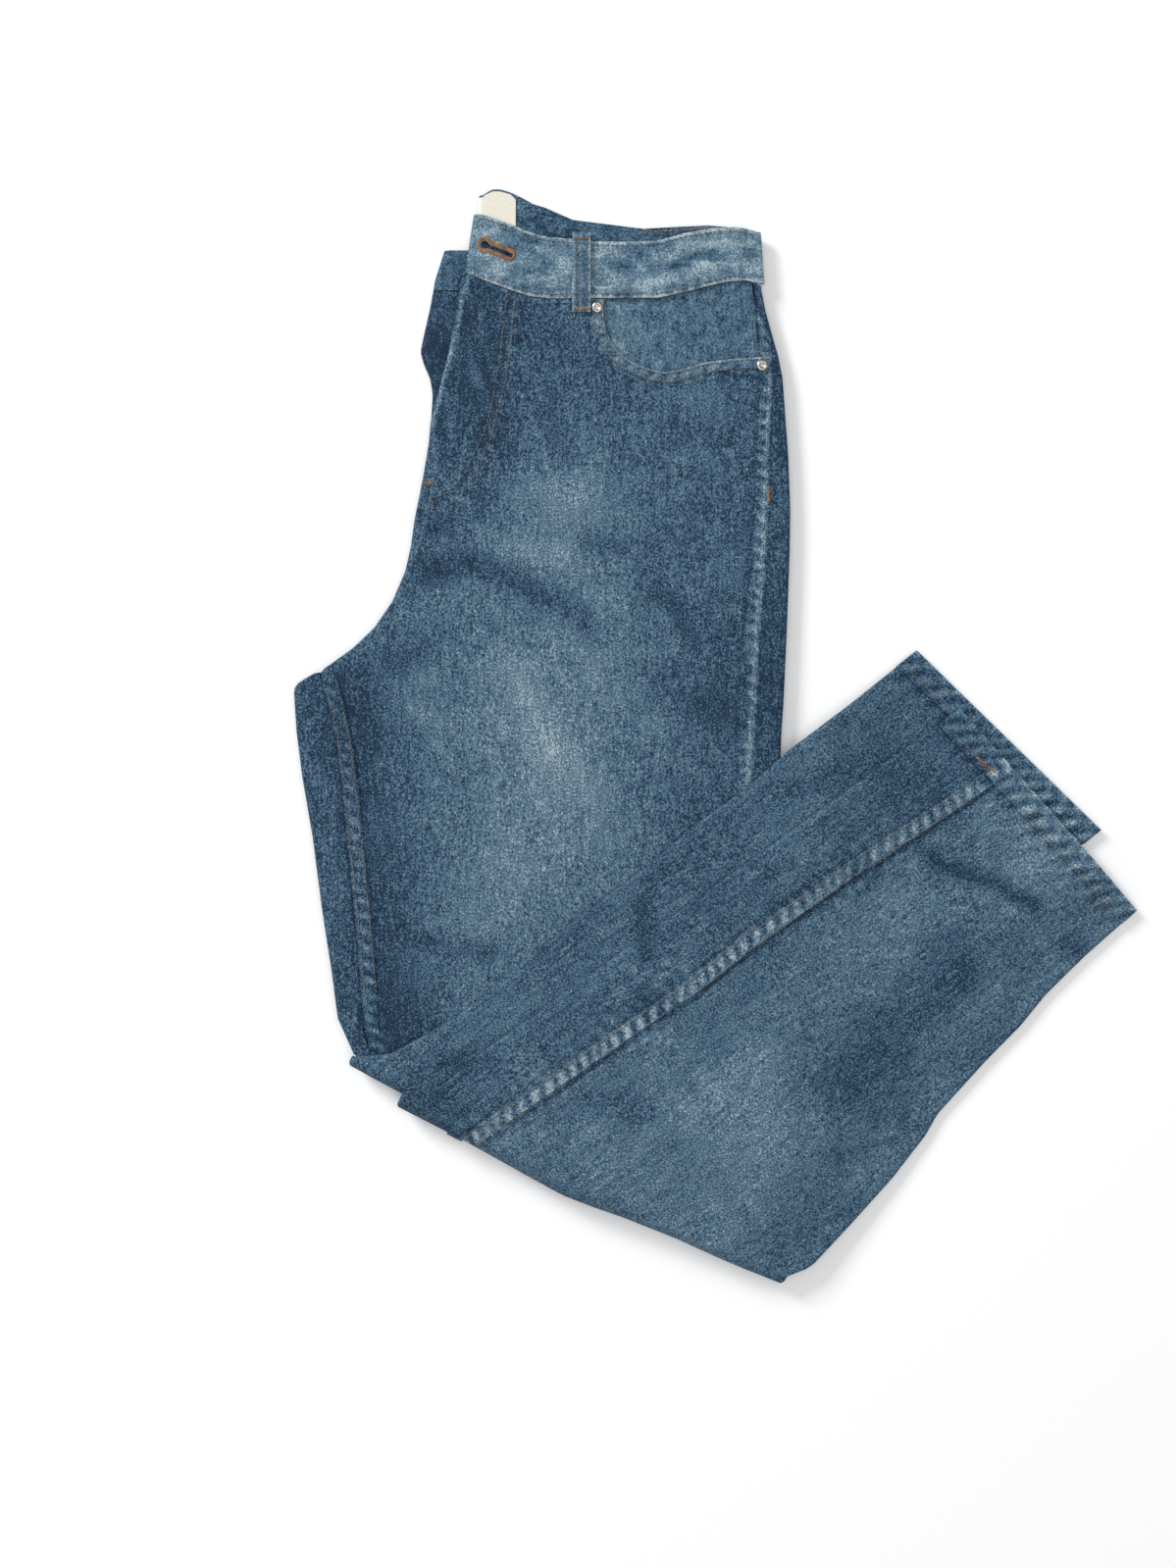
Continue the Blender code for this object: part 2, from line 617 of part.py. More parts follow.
def make_right_strip(group):
    """The right front beside the fly, round the left edge down to the surface."""
    outer, inner = [], []
    under_fly, top = 6.0, TOP_Z - WALL - GAP
    for y in (295.3, 284, 271, 256, 247, 238, 228, 218, 208, 196, 175, 157, 143, 126, 110, 90, 72, 59, 50):
        edge = read(OUTER_EDGE, "y", y, "x")
        fly = read(FLY_EDGE, "y", y, "x") + under_fly
        shown = smooth((y - 198) / 18)
        start = 28 + 62 * shown
        side = edge + 5.5 - 5.5 * cos(radians(start)) + 0.5
        x_inner = side + (max(fly, edge + 7) - side) * shown
        out_row, in_row = roll_section(edge, x_inner, y, start, WALL, top)
        if shown < 1:
            lift = out_row[1][2] + 0.25
            out_row[0] = (x_inner, y, lift + (top - lift) * shown)
            in_row[0] = (x_inner + 1.0 * (1 - shown), y, out_row[0][2] - WALL + 0.4 * (1 - shown))
        outer.append(out_row)
        inner.append(in_row)
    loft_wall("right_front_top", outer, inner, "denim_dark", group)


def make_waistband(group):
    """The waistband where it shows: the left front, the back's inner face and the right front's end."""
    outer, inner = [], []
    columns = [-161, -156, -150, -143, -136, -128, -118, -105, -90, -75, -60, -45, -32, -20, -8, 4, 14, 22]
    radius = (BAND_TOP_Z - BACK_BAND_Z) / 2
    middle = BAND_TOP_Z - radius
    rows_up = 4
    for x in columns:
        end_lean = -6.0 * smooth((-140 - x) / 20)
        low, high = read(FRONT_SEAM, "x", x + end_lean, "y"), read(FRONT_TOP, "x", x, "y")
        out_row, in_row = [], []
        for i in range(rows_up + 1):
            f = i / rows_up
            y = low + (high - low) * f
            lean = end_lean * (1 - f)
            out_row.append((x + lean, y, BAND_TOP_Z))
            in_row.append((x + lean, y, BAND_TOP_Z - BAND_WALL))
        outer.append(out_row)
        inner.append(in_row)
    end_x = 26.2
    for turn in (0, 30, 60, 90, 120, 150, 180):
        a = radians(turn)
        out_row, in_row = [], []
        for i in range(rows_up + 1):
            f = i / rows_up
            low, high = read(FRONT_SEAM, "x", end_x, "y"), read(FRONT_TOP, "x", end_x, "y")
            y = low + (high - low) * f
            lean = 2.5 * (1 - f)
            out_row.append((end_x + lean + radius * sin(a), y, middle + radius * cos(a)))
            core = radius - BAND_WALL
            in_row.append((end_x + lean + core * sin(a), y, middle + core * cos(a)))
        outer.append(out_row)
        inner.append(in_row)
    band = loft_wall("waistband_front", outer, inner, "denim_worn", group)

    outer, inner = [], []
    back_wall = 2.0
    columns = [25.5, 16, 4, -8, -20, -34, -48, -52, -70, -84, -92, -103, -114, -122, -129, -137, -144, -149, -153]
    for x in columns:
        low, high = back_bottom(x), read(BACK_TOP, "x", x, "y")
        out_row = [(x, low + (high - low) * i / 3, BACK_BAND_Z + back_wall) for i in range(4)]
        in_row = [(p[0], p[1], BACK_BAND_Z) for p in out_row]
        outer.append(out_row)
        inner.append(in_row)
    end_x, radius, turn_z = -155.6, 2.3, BACK_BAND_Z + back_wall - 2.3
    for turn in (0, 30, 60, 90, 120):
        a = radians(turn)
        low, high = back_bottom(end_x), read(BACK_TOP, "x", end_x, "y")
        rise = [low + (high - low) * i / 3 for i in range(4)]
        outer.append([(end_x - radius * sin(a), y, turn_z + radius * cos(a)) for y in rise])
        inner.append([(end_x - 0.3 * sin(a), y, turn_z + 0.3 * cos(a)) for y in rise])
    loft_wall("waistband_back", outer, inner, "denim", group)

    outer, inner = [], []
    top = BAND_TOP_Z - BAND_WALL - GAP
    for y in (296, 304, 310, 317, 322.6):
        edge = read(OUTER_EDGE, "y", y, "x")
        inner_x = read(FLY_EDGE, "y", y, "x") + 6 if y < 307 else -160.0
        out_row, in_row = roll_section(edge, inner_x, y, 90, WALL, top)
        outer.append(out_row)
        inner.append(in_row)
    loft_wall("waistband_right_end", outer, inner, "denim", group)
    return band


def make_buttonhole(band, group, cutters):
    """Cuts the keyhole buttonhole through the waistband's end."""
    centre, angle = (-145.0, 322.0), radians(-22)
    slot, eye = (19.0, 2.6), 2.6
    shape = bmesh.new()
    bmesh.ops.create_cube(shape, size=1.0)
    bmesh.ops.scale(shape, vec=(slot[0] * METRE, slot[1] * METRE, 12 * METRE), verts=shape.verts)
    mesh = bpy.data.meshes.new("buttonhole_slot")
    shape.to_mesh(mesh)
    shape.free()
    pieces = [(mesh, centre)]
    shape = bmesh.new()
    bmesh.ops.create_cone(shape, cap_ends=True, segments=12, radius1=eye * METRE, radius2=eye * METRE,
                          depth=12 * METRE)
    mesh = bpy.data.meshes.new("buttonhole_eye")
    shape.to_mesh(mesh)
    shape.free()
    reach = slot[0] / 2
    pieces.append((mesh, (centre[0] - reach * cos(angle), centre[1] - reach * sin(angle))))
    for mesh, place in pieces:
        cutter = bpy.data.objects.new(mesh.name, mesh)
        cutter.location = (place[0] * METRE, place[1] * METRE, BAND_TOP_Z * METRE)
        cutter.rotation_euler = (0, 0, angle)
        cutter.hide_render = True
        cutter.display_type = "WIRE"
        cutters.objects.link(cutter)
        cut = band.modifiers.new(mesh.name, "BOOLEAN")
        cut.operation = "DIFFERENCE"
        cut.solver = "EXACT"
        cut.object = cutter


def make_pocket(front, group, cutters):
    """The pocket's opening cut in the front, the facing under it and the opening's turned edge."""
    corners = POCKET + [(70, 252), (70, 330), (-75.2, 330)]
    points = [(x, y, z) for z in (TOP_Z - 2.2, TOP_Z + 6) for x, y in corners]
    count = len(corners)
    faces = [list(range(count)), list(range(count, 2 * count))]
    faces += [[i, (i + 1) % count, count + (i + 1) % count, count + i] for i in range(count)]
    cutter = add_object("pocket_cutter", points, faces, "denim", cutters)
    cutter.hide_render = True
    cutter.display_type = "WIRE"
    cut = front.modifiers.new("pocket", "BOOLEAN")
    cut.operation = "DIFFERENCE"
    cut.solver = "EXACT"
    cut.object = cutter

    outer, inner = [], []
    top, wall, steps = TOP_Z - WALL - GAP, 1.0, 4
    for x in (-82, -76, -70, -60, -48, -36, -24, -12, 0, 12, 20, 24):
        high = min(read(FRONT_SEAM, "x", x, "y") - GAP, 303)
        low = float(np.interp(x, [-82, -75, -70, -60, -47, -34, -9, 22], [270, 262, 253, 243, 236, 234, 240, 243]))
        out_row = [(x + 5.5 * smooth(x / 20) * (1 - i / steps), low + (high - low) * i / steps, top)
                   for i in range(steps + 1)]
        outer.append(out_row)
        inner.append([(p[0], p[1], p[2] - wall) for p in out_row])
    loft_wall("pocket_facing", outer, inner, "denim_worn", group)

    outer, inner = [], []
    width, rise = 7.5, 0.8
    route = POCKET[1:]
    for i, (x, y) in enumerate(route):
        before, after = np.array(route[max(i - 1, 0)]), np.array(route[min(i + 1, len(route) - 1)])
        along = (after - before) / hypot(*(after - before))
        outward = np.array([along[1], -along[0]])
        near, far = np.array([x, y]) + outward * 0.4, np.array([x, y]) + outward * width
        top = TOP_Z + GAP + rise
        outer.append([(*near, top), (*((near + far) / 2), top), (*far, top)])
        inner.append([(p[0], p[1], TOP_Z + GAP) for p in outer[-1]])
    loft_wall("pocket_edge", outer, inner, "denim", group)


def make_belt_loop(group):
    """The belt loop: bar-tacked over the waistband's top edge and below the waist seam."""
    centre, width, wall = -89.9, 12.0, 1.8
    top = BAND_TOP_Z + GAP
    profile = [(281.0, TOP_Z + GAP), (286.2, TOP_Z + GAP + 0.1), (289.6, top + 0.1), (302, top + 0.7),
               (312, top + 0.9), (322, top + 0.6), (328, top), (330.5, top - 0.1), (332.4, top - 1.6),
               (333.0, top - 3.2)]
    outer, inner = [], []
    for i, (y, z) in enumerate(profile):
        before, after = profile[max(i - 1, 0)], profile[min(i + 1, len(profile) - 1)]
        dy, dz = after[0] - before[0], after[1] - before[1]
        size = hypot(dy, dz)
        up = (-dz / size * wall, dy / size * wall)
        across = [centre - width / 2, centre, centre + width / 2]
        outer.append([(x, y + up[0], z + up[1]) for x in across])
        inner.append([(x, y, z) for x in across])
    loft_wall("belt_loop", outer, inner, "denim", group)


def make_label(group):
    """The plain woven label on the back waistband's inner face, round the centre back fold."""
    base, wall = BACK_BAND_Z + 2.0 + GAP, 0.5
    outer, inner = [], []
    for x in (-133.5, -138, -143, -148, -152.5, -155.6):
        low = read(FRONT_TOP, "x", x, "y") - 8
        high = read(BACK_TOP, "x", x, "y") - 1.6 - 2.0 * smooth((x + 137) / 4)
        out_row = [(x, low, base + wall), (x, (low + high) / 2, base + wall), (x, high, base + wall)]
        outer.append(out_row)
        inner.append([(p[0], p[1], base) for p in out_row])
    low, high = read(FRONT_TOP, "x", -155.6, "y") - 8, read(BACK_TOP, "x", -155.6, "y") - 1.6
    radius, turn_z = 2.3 + GAP, base - 2.3 - GAP
    for turn in (30, 60, 90):
        a = radians(turn)
        rise = (low, (low + high) / 2, high)
        outer.append([(-155.6 - (radius + wall) * sin(a), y, turn_z + (radius + wall) * cos(a)) for y in rise])
        inner.append([(-155.6 - radius * sin(a), y, turn_z + radius * cos(a)) for y in rise])
    loft_wall("woven_label", outer, inner, "woven_label", group)


def make_rivet(name, x, y, base, group):
    """A domed rivet cap, turned from its profile."""
    profile = [(0.0, 0.9), (1.3, 0.8), (1.7, 1.25), (2.7, 1.4), (3.5, 1.0), (3.75, 0.45), (3.7, 0.0), (0.0, 0.0)]
    mesh = bpy.data.meshes.new(name)
    points = [(r * METRE, 0, z * METRE) for r, z in profile]
    mesh.from_pydata(points, [(i, i + 1) for i in range(len(points) - 1)], [])
    made = bpy.data.objects.new(name, mesh)
    made.location = (x * METRE, y * METRE, (base + GAP) * METRE)
    made.data.materials.append(material("nickel"))
    group.objects.link(made)
    turn = made.modifiers.new("turn", "SCREW")
    turn.axis = "Z"
    turn.steps = 16
    turn.render_steps = 16
    turn.use_merge_vertices = True
    turn.merge_threshold = 0.00005
    turn.use_normal_calculate = True
    return made


def main():
    for old in list(bpy.data.objects):
        bpy.data.objects.remove(old, do_unlink=True)
    group = bpy.data.collections.new("mom_jeans")
    cutters = bpy.data.collections.new("cutters")
    bpy.context.scene.collection.children.link(group)
    bpy.context.scene.collection.children.link(cutters)
    front = make_left_panels(group)
    make_left_lower(group)
    make_right_lower(group)
    make_hidden_layers(group)
    make_right_strip(group)
    band = make_waistband(group)
    make_buttonhole(band, group, cutters)
    make_pocket(front, group, cutters)
    make_belt_loop(group)
    make_label(group)
    make_rivet("rivet_inner", -79.4, 284.1, TOP_Z + GAP + 0.8, group)
    make_rivet("rivet_outer", 29.8, 245.6, TOP_Z + GAP + 0.8, group)


main()
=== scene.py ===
"""Folded mom jeans: the look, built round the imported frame.

Lengths are in millimetres until a mesh is made. X is to the right and Y towards the waist, as
seen from above. Along a folded lower leg, s runs to the hem and q across it, down to the right.
The sections repeat those of the solids, finer, with creases, puckered seams and stitches.
"""
import bpy
import bmesh
import numpy as np
from math import pi, radians
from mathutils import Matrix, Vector
from mathutils.bvhtree import BVHTree


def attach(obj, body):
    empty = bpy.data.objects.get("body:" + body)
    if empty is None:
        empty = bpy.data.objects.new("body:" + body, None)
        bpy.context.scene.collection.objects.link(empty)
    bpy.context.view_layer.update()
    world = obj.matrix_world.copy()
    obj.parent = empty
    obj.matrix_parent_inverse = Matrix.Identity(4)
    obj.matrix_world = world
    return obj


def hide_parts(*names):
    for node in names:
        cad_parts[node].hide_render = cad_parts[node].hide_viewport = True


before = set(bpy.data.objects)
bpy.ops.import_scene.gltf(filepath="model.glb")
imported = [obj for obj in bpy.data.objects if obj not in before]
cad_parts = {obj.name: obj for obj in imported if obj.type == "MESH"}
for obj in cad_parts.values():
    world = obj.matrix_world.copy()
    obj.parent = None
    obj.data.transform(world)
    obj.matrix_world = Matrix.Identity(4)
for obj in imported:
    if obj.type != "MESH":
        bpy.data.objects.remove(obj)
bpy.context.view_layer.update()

METRE = 0.001

# Driving sizes, the same as in the solids: walls, a flat leg's thickness and the layers' heights
WALL = 1.5
GAP = 0.3
LEG = 4.9
ROUND = LEG / 2
LAYER = LEG + GAP
LOFT = 0.8
LEFT_Z = LAYER
TOP_Z = LEFT_Z + LEG
# Bands, seams and trim
BAND_WALL = 2.5
BAND_TOP_Z = TOP_Z + 1.1
BACK_BAND_WALL = 2.0
# Half the width of the rounded edge of the right half, under the fly
ROLL = 5.5
POCKET_EDGE = 7.5
POCKET_EDGE_RISE = 0.8
BELT_LOOP_X = -89.9
BELT_LOOP_WIDTH = 12.0
INNER_RIVET = (-79.4, 284.1)
OUTER_RIVET = (29.8, 245.6)
HEM_WIDTH = 16.0
HEM_WALL = 2.2
INSEAM_WIDTH = 11.0
WAIST_Y = 290.0
# A quarter turn round a leg's edge
QUARTER = pi * ROUND / 2
# The folded legs' direction, and the line of the knee fold
LEG_ANGLE = radians(35.5)
FOLD_ANGLE = radians(27.53)
FOLD_START = np.array([-244.4, -212.6])
FOLD_ALONG = np.array([np.cos(FOLD_ANGLE), -np.sin(FOLD_ANGLE)])
FOLD_OUT = np.array([-np.sin(FOLD_ANGLE), -np.cos(FOLD_ANGLE)])

# The camera: the place under its middle, the length in its height at MEASURED_HEIGHT, and its own height
VIEW_CENTRE = (-85.5, -31.5)
VIEW_HEIGHT = 1039.3
CAMERA_HEIGHT = 1600.0
MEASURED_HEIGHT = 10.0
SENSOR_HEIGHT = 24.0


def table(columns, *rows):
    """A short table with named columns, sorted by its first column."""
    data = np.array(sorted(rows), float)
    return {name: data[:, i] for i, name in enumerate(columns)}


def read(source, key, value, column):
    """The table's column at a value of its key."""
    return np.interp(value, source[key], source[column])


# Upper part: x of each edge and seam at a height y
OUTER_EDGE = table(
    ("y", "x"), (323, -181), (304, -187), (284, -190.7), (271, -193.7), (256, -197), (247, -194.5),
    (238, -190.5), (228, -188.8), (215, -189.5), (196, -191), (175, -194.5), (157, -198), (143, -200.8),
    (126, -203.1), (110, -206.7), (90, -215.2), (72, -227.5), (59, -241.2), (52, -250.9), (46, -259),
    (41, -269), (36, -277.6), (31, -280.8), (22, -280.2), (4, -279), (-26, -275.3), (-66, -268.4),
    (-116, -261.9), (-153, -256.1), (-187, -251.6), (-205, -250.2), (-213, -247))
FLY_EDGE = table(
    ("y", "x"), (307, -166), (294, -169.2), (275, -173), (255.5, -177.5), (236, -182.7), (217, -187.5),
    (205, -190.5))
INSEAM = table(
    ("y", "x"), (46, -264), (29, -259.4), (13, -255.5), (-6, -251.8), (-32, -248.3), (-66, -245.1),
    (-107, -240.5), (-156, -236), (-189, -232.7), (-214, -229.5))
SIDE_SEAM = table(
    ("y", "x"), (302, 21.4), (294, 23.2), (283, 25.4), (266, 34), (253, 35.6), (232, 35.6), (211, 33.8),
    (159, 31.9), (123, 30.6), (89, 27.9), (54, 25.4), (21, 24.1), (3, 22.4), (-31, 20.2), (-110, 6),
    (-334, -34))
RIGHT_EDGE = table(
    ("y", "x"), (302, 29.2), (287, 29.6), (276, 32.3), (265, 36.4), (253, 40.6), (238, 43.6), (220, 44.9),
    (185, 47.5), (150, 48.8), (123, 48.4), (71, 46.5), (21, 44.2), (3, 42.9), (-20, 42), (-334, -12))
# Waist: y of each edge at a distance x
FRONT_SEAM = table(
    ("x", "y"), (-167, 307.6), (-150, 300.9), (-136.5, 295.8), (-123.5, 291.7), (-110, 290.3), (-59, 290.8),
    (-39, 290.8), (-22, 294.4), (-6, 298.7), (7.5, 301.6), (19, 302.4), (30, 299.5))
FRONT_TOP = table(
    ("x", "y"), (-160, 346), (-156, 346), (-146.6, 343.3), (-135, 338.7), (-126, 334.8), (-113, 330.9),
    (-97, 329.7), (-83, 328.1), (-59, 327.6), (-39, 328.5), (-22, 333.4), (-3, 336.7), (11, 337.6),
    (19, 336.7), (27, 333.9), (30, 333.5))
BACK_TOP = table(
    ("x", "y"), (-160, 355), (-154, 360.9), (-148.8, 363.4), (-143.7, 363.4), (-137, 361.4),
    (-128.7, 357.5), (-122, 353.6), (-114, 351.3), (-103.4, 346.6), (-91.7, 341.4), (-84.5, 338),
    (-70, 335.4), (-52, 335.1), (-47.5, 337.4), (-27, 338.5), (-6, 339.5), (10, 338.2), (27, 335.5))
# Pocket opening, from the waist seam to the side seam
POCKET = [
    (-75.2, 300), (-75, 288.5), (-75, 282), (-74.2, 273), (-71.5, 265), (-66, 256.5), (-58, 249.5),
    (-47, 244.6), (-34, 242), (-22, 244.3), (-9, 247.8), (6, 250), (22, 251.4), (34.5, 251.8)]
# The facing's lower edge, below the opening
FACING_LOW = table(
    ("x", "y"), (-82, 270), (-75, 262), (-70, 253), (-60, 243), (-47, 236), (-34, 234), (-9, 240), (22, 243))
# Folded lower legs: q of an edge or seam at a distance s
LEFT_LEG_TOP = table(
    ("s", "q"), (-322, 34), (-307, 42.6), (-299, 45), (-272, 48.4), (-243, 51), (-201, 47.2), (-144, 44.1),
    (-88, 43), (-49, 39), (0, 38.8), (33, 34.8), (86, 33.6), (142, 30.8))
LEFT_LEG_LOW = table(
    ("s", "q"), (-204, 264), (-100, 240), (0, 218), (100, 203), (172, 199))
RIGHT_LEG_TOP = table(
    ("s", "q"), (-306, 83), (-240, 79), (-100, 79), (141, 78.5))
RIGHT_LEG_LOW = table(
    ("s", "q"), (-175, 321), (-150, 322), (-113, 315), (-75, 307), (-41, 297), (-26, 290), (20, 280),
    (54, 274), (78, 267.3), (114, 261.5), (160, 256.5))
RIGHT_INSEAM = table(
    ("s", "q"), (-306, 117), (-182, 118), (-111, 119.5), (-67, 116.8), (13, 117.6), (56, 119.5),
    (100, 121.5), (150, 121.5))
# The knee fold: how far out each leg reaches at a length along it
RIGHT_FOLD = table(
    ("a", "out"), (40, 13.5), (100, 13.4), (140, 14.6), (168, 15.2), (190, 12.8), (210, 9.8), (247, 6),
    (275, 4.5), (299, 3.1), (326, 0.6))
LEFT_FOLD = table(
    ("a", "out"), (0, -2.2), (30, -1.6), (150, -1.6), (200, -2.2), (247, -5.2), (263, -6))


def smooth(value):
    """A soft step from 0 to 1."""
    t = np.clip(value, 0, 1)
    return t * t * (3 - 2 * t)


def bell(distance, width):
    """A smooth hump: 1 at no distance, and nearly nothing past twice the width."""
    return np.exp(-(distance / width) ** 2)


def leg_xy(s, q):
    """The place of a point on the folded legs."""
    return s * np.cos(LEG_ANGLE) + q * np.sin(LEG_ANGLE), s * np.sin(LEG_ANGLE) - q * np.cos(LEG_ANGLE)


def leg_sq(x, y):
    """The way back: how far along and across the folded legs a place is."""
    return x * np.cos(LEG_ANGLE) + y * np.sin(LEG_ANGLE), x * np.sin(LEG_ANGLE) - y * np.cos(LEG_ANGLE)


def left_hem_line(q):
    """How far along the folded left leg its hem's edge is."""
    return 141.7 + (q - 31) * 0.18


def right_hem_line(q):
    """How far along the folded right leg its hem's edge is."""
    return 141.5 + (q - 78.5) * 0.107


def stack_height(x, y):
    """Height on which the folded left leg lies."""
    reach, right_limit, clear = 100.0, 47.0, 7.0
    left_limit = read(RIGHT_EDGE, "y", y, "x") + clear
    on_left = 1 - smooth((x - left_limit) / reach)
    on_right = 1 - smooth((x - right_limit) / reach)
    s, q = leg_sq(x, y)
    seam_lift = 1.5 * smooth((-250 - s) / 30) * (1 - smooth((q - 70) / 30))
    return (LAYER + LOFT / 2) * (on_left + on_right) + seam_lift


def left_leg_top(x, y):
    """Height of the folded left leg's top."""
    return stack_height(x, y) + LEG


def right_leg_top(x, y):
    """Height of the folded right leg's top, lower where the left leg ends beneath it."""
    s, q = leg_sq(x, y)
    cover = 1 - smooth((q - read(LEFT_LEG_LOW, "s", s, "q") - 10) / 45)
    hem_lift = 0.9 * smooth((s - 90) / 40)
    return stack_height(x, y) + cover * (LAYER + LOFT + hem_lift) + LEG


# Creases laid one by one: how deep (negative stands up), how wide, and the points along each
UPPER_CREASES = [
    (1.2, 9, [(-204, 109), (-191, 109), (-169, 115), (-141, 107), (-113, 91), (-100, 89),
             (-85, 70), (-63, 68)]),
    (0.7, 6, [(-193, 138), (-172, 137)]),
    (0.7, 7, [(-96, 130), (-78, 127), (-59, 124)]),
    (0.8, 7, [(-48, 96), (-29, 87), (-18, 68), (-14, 55)]),
    (-0.6, 9, [(-150, 126), (-118, 121), (-85, 118)]),
    (-0.5, 10, [(-159, 163), (-110, 163), (-66, 163)]),
    (-0.5, 5, [(-211, 22), (-190, 12), (-172, 5)]),
    (0.8, 8, [(-202, -132), (-179, -139), (-157, -142), (-140, -144)]),
    (0.6, 12, [(-60, 40), (-20, 22), (16, 12)]),
    (-0.5, 12, [(-150, 60), (-120, 20), (-100, -30)]),
    (0.5, 9, [(-40, 210), (-10, 200), (20, 196)]),
    (0.6, 7, [(-27, 269), (0, 267), (24, 272)]),
    (0.5, 10, [(-120, 235), (-104, 200), (-98, 170)]),
]
LOWER_CREASES = [
    (1.3, 6, [(129, -71), (152, -87), (178, -94), (201, -107), (224, -121)]),
    (0.9, 8, [(227, -133), (240, -141), (247, -146)]),
    (0.9, 7, [(-49, -97), (-50, -129), (-46, -155)]),
    (0.8, 10, [(-60, -168), (-44, -178), (-28, -186)]),
    (0.8, 9, [(88, -84), (100, -92), (112, -98)]),
    (0.6, 16, [(60, -250), (100, -215), (150, -160), (175, -140)]),
    (-0.5, 14, [(-40, -260), (0, -235), (40, -195)]),
    (0.7, 9, [(20, -38), (50, -36), (70, -30), (95, -18)]),
    (0.5, 10, [(-120, -250), (-80, -240), (-30, -250)]),
    (0.6, 8, [(-190, -222), (-170, -214), (-140, -214)]),
    (-0.6, 10, [(150, -210), (175, -180), (200, -150)]),
]


def along_line(x, y, points):
    """Distance to a line of points, and how far along it the nearest place is, from 0 to 1."""
    best = np.full(np.shape(x), 1e9)
    share = np.zeros(np.shape(x))
    count = len(points) - 1
    for i in range(count):
        (x0, y0), (x1, y1) = points[i], points[i + 1]
        dx, dy = x1 - x0, y1 - y0
        t = np.clip(((x - x0) * dx + (y - y0) * dy) / (dx * dx + dy * dy), 0, 1)
        distance = np.hypot(x - x0 - t * dx, y - y0 - t * dy)
        near = distance < best
        best = np.where(near, distance, best)
        share = np.where(near, (i + t) / count, share)
    return best, share


def creased(x, y, creases):
    """How far the cloth sinks at a place, from all the creases."""
    sink = np.zeros(np.shape(x))
    for depth, width, points in creases:
        distance, share = along_line(x, y, points)
        ends = smooth(share / 0.18) * smooth((1 - share) / 0.18) * 0.85 + 0.15
        sink = sink + depth * bell(distance, width) * ends
    return sink


def swell(x, y):
    """Low uneven waves of cloth that lies loosely, about half a millimetre high."""
    wave = np.sin(x / 23 + 1.3 * np.sin(y / 41)) * np.sin(y / 31 + 0.9 * np.sin(x / 37 + 2))
    small = np.sin(x / 9.5 + 2.1 * np.sin(y / 17 + 1)) * np.sin(y / 12 + 1.7 * np.sin(x / 14))
    return 0.3 * wave + 0.12 * small


# Seams that pull the cloth into small slanted waves
FLY_STITCH = [
    (-133, 296), (-135.5, 275.6), (-137, 257.5), (-139.2, 242.6), (-141.4, 230.8), (-144.4, 217.2),
    (-147, 209.6), (-150.9, 195), (-155.6, 183), (-162.2, 169.8), (-171.5, 157.8), (-182.1, 151.9),
    (-196.7, 151.2)]
FLY_STITCH_INNER = [
    (-138.9, 296), (-140.7, 280.2), (-142.4, 265.2), (-143.7, 250.3), (-146.9, 235.3), (-148.9, 221.7),
    (-153.4, 204.8), (-159.6, 190.5), (-166.4, 176.2), (-172.9, 167.7), (-180.1, 161.2), (-191.4, 157.3)]


def pulled(distance, along, height, pitch, reach):
    """Waves along a seam, uneven in pitch and height, which die out away from it."""
    wave = np.sin(2 * pi * (along + 0.45 * np.abs(distance)) / pitch + 1.5 * np.sin(along / 19))
    uneven = 0.65 + 0.35 * np.sin(along / 27 + 1.1)
    return height * wave * uneven * bell(distance, reach)


def relief_upper(x, y):
    """How far the upper part's top sinks: creases, loose waves and pulled seams."""
    sink = creased(x, y, UPPER_CREASES) + swell(x, y)
    sink = sink + pulled(x - read(INSEAM, "y", y, "x") - 5, y, 0.5, 9.5, 14) * smooth((50 - y) / 15)
    sink = sink + pulled(x - read(SIDE_SEAM, "y", y, "x"), y, 0.42, 10.5, 9)
    distance, share = along_line(x, y, FLY_STITCH)
    sink = sink + pulled(distance, share * 160, 0.32, 8, 9)
    distance, share = along_line(x, y, POCKET)
    sink = sink + pulled(distance, share * 140, 0.36, 9, 11)
    return sink + pulled(y - read(FRONT_SEAM, "x", x, "y"), x, 0.35, 8.5, 10)


def relief_left(x, y):
    """The same for the folded left leg."""
    s, q = leg_sq(x, y)
    return creased(x, y, LOWER_CREASES) + swell(x, y) + pulled(left_hem_line(q) - 10 - s, q, 0.62, 11, 17)


def relief_right(x, y):
    """The same for the folded right leg."""
    s, q = leg_sq(x, y)
    sink = creased(x, y, LOWER_CREASES) + swell(x, y) + pulled(right_hem_line(q) - 10 - s, q, 0.62, 11, 17)
    return sink + pulled(q - read(RIGHT_INSEAM, "s", s, "q") - 5, s, 0.62, 10, 15)


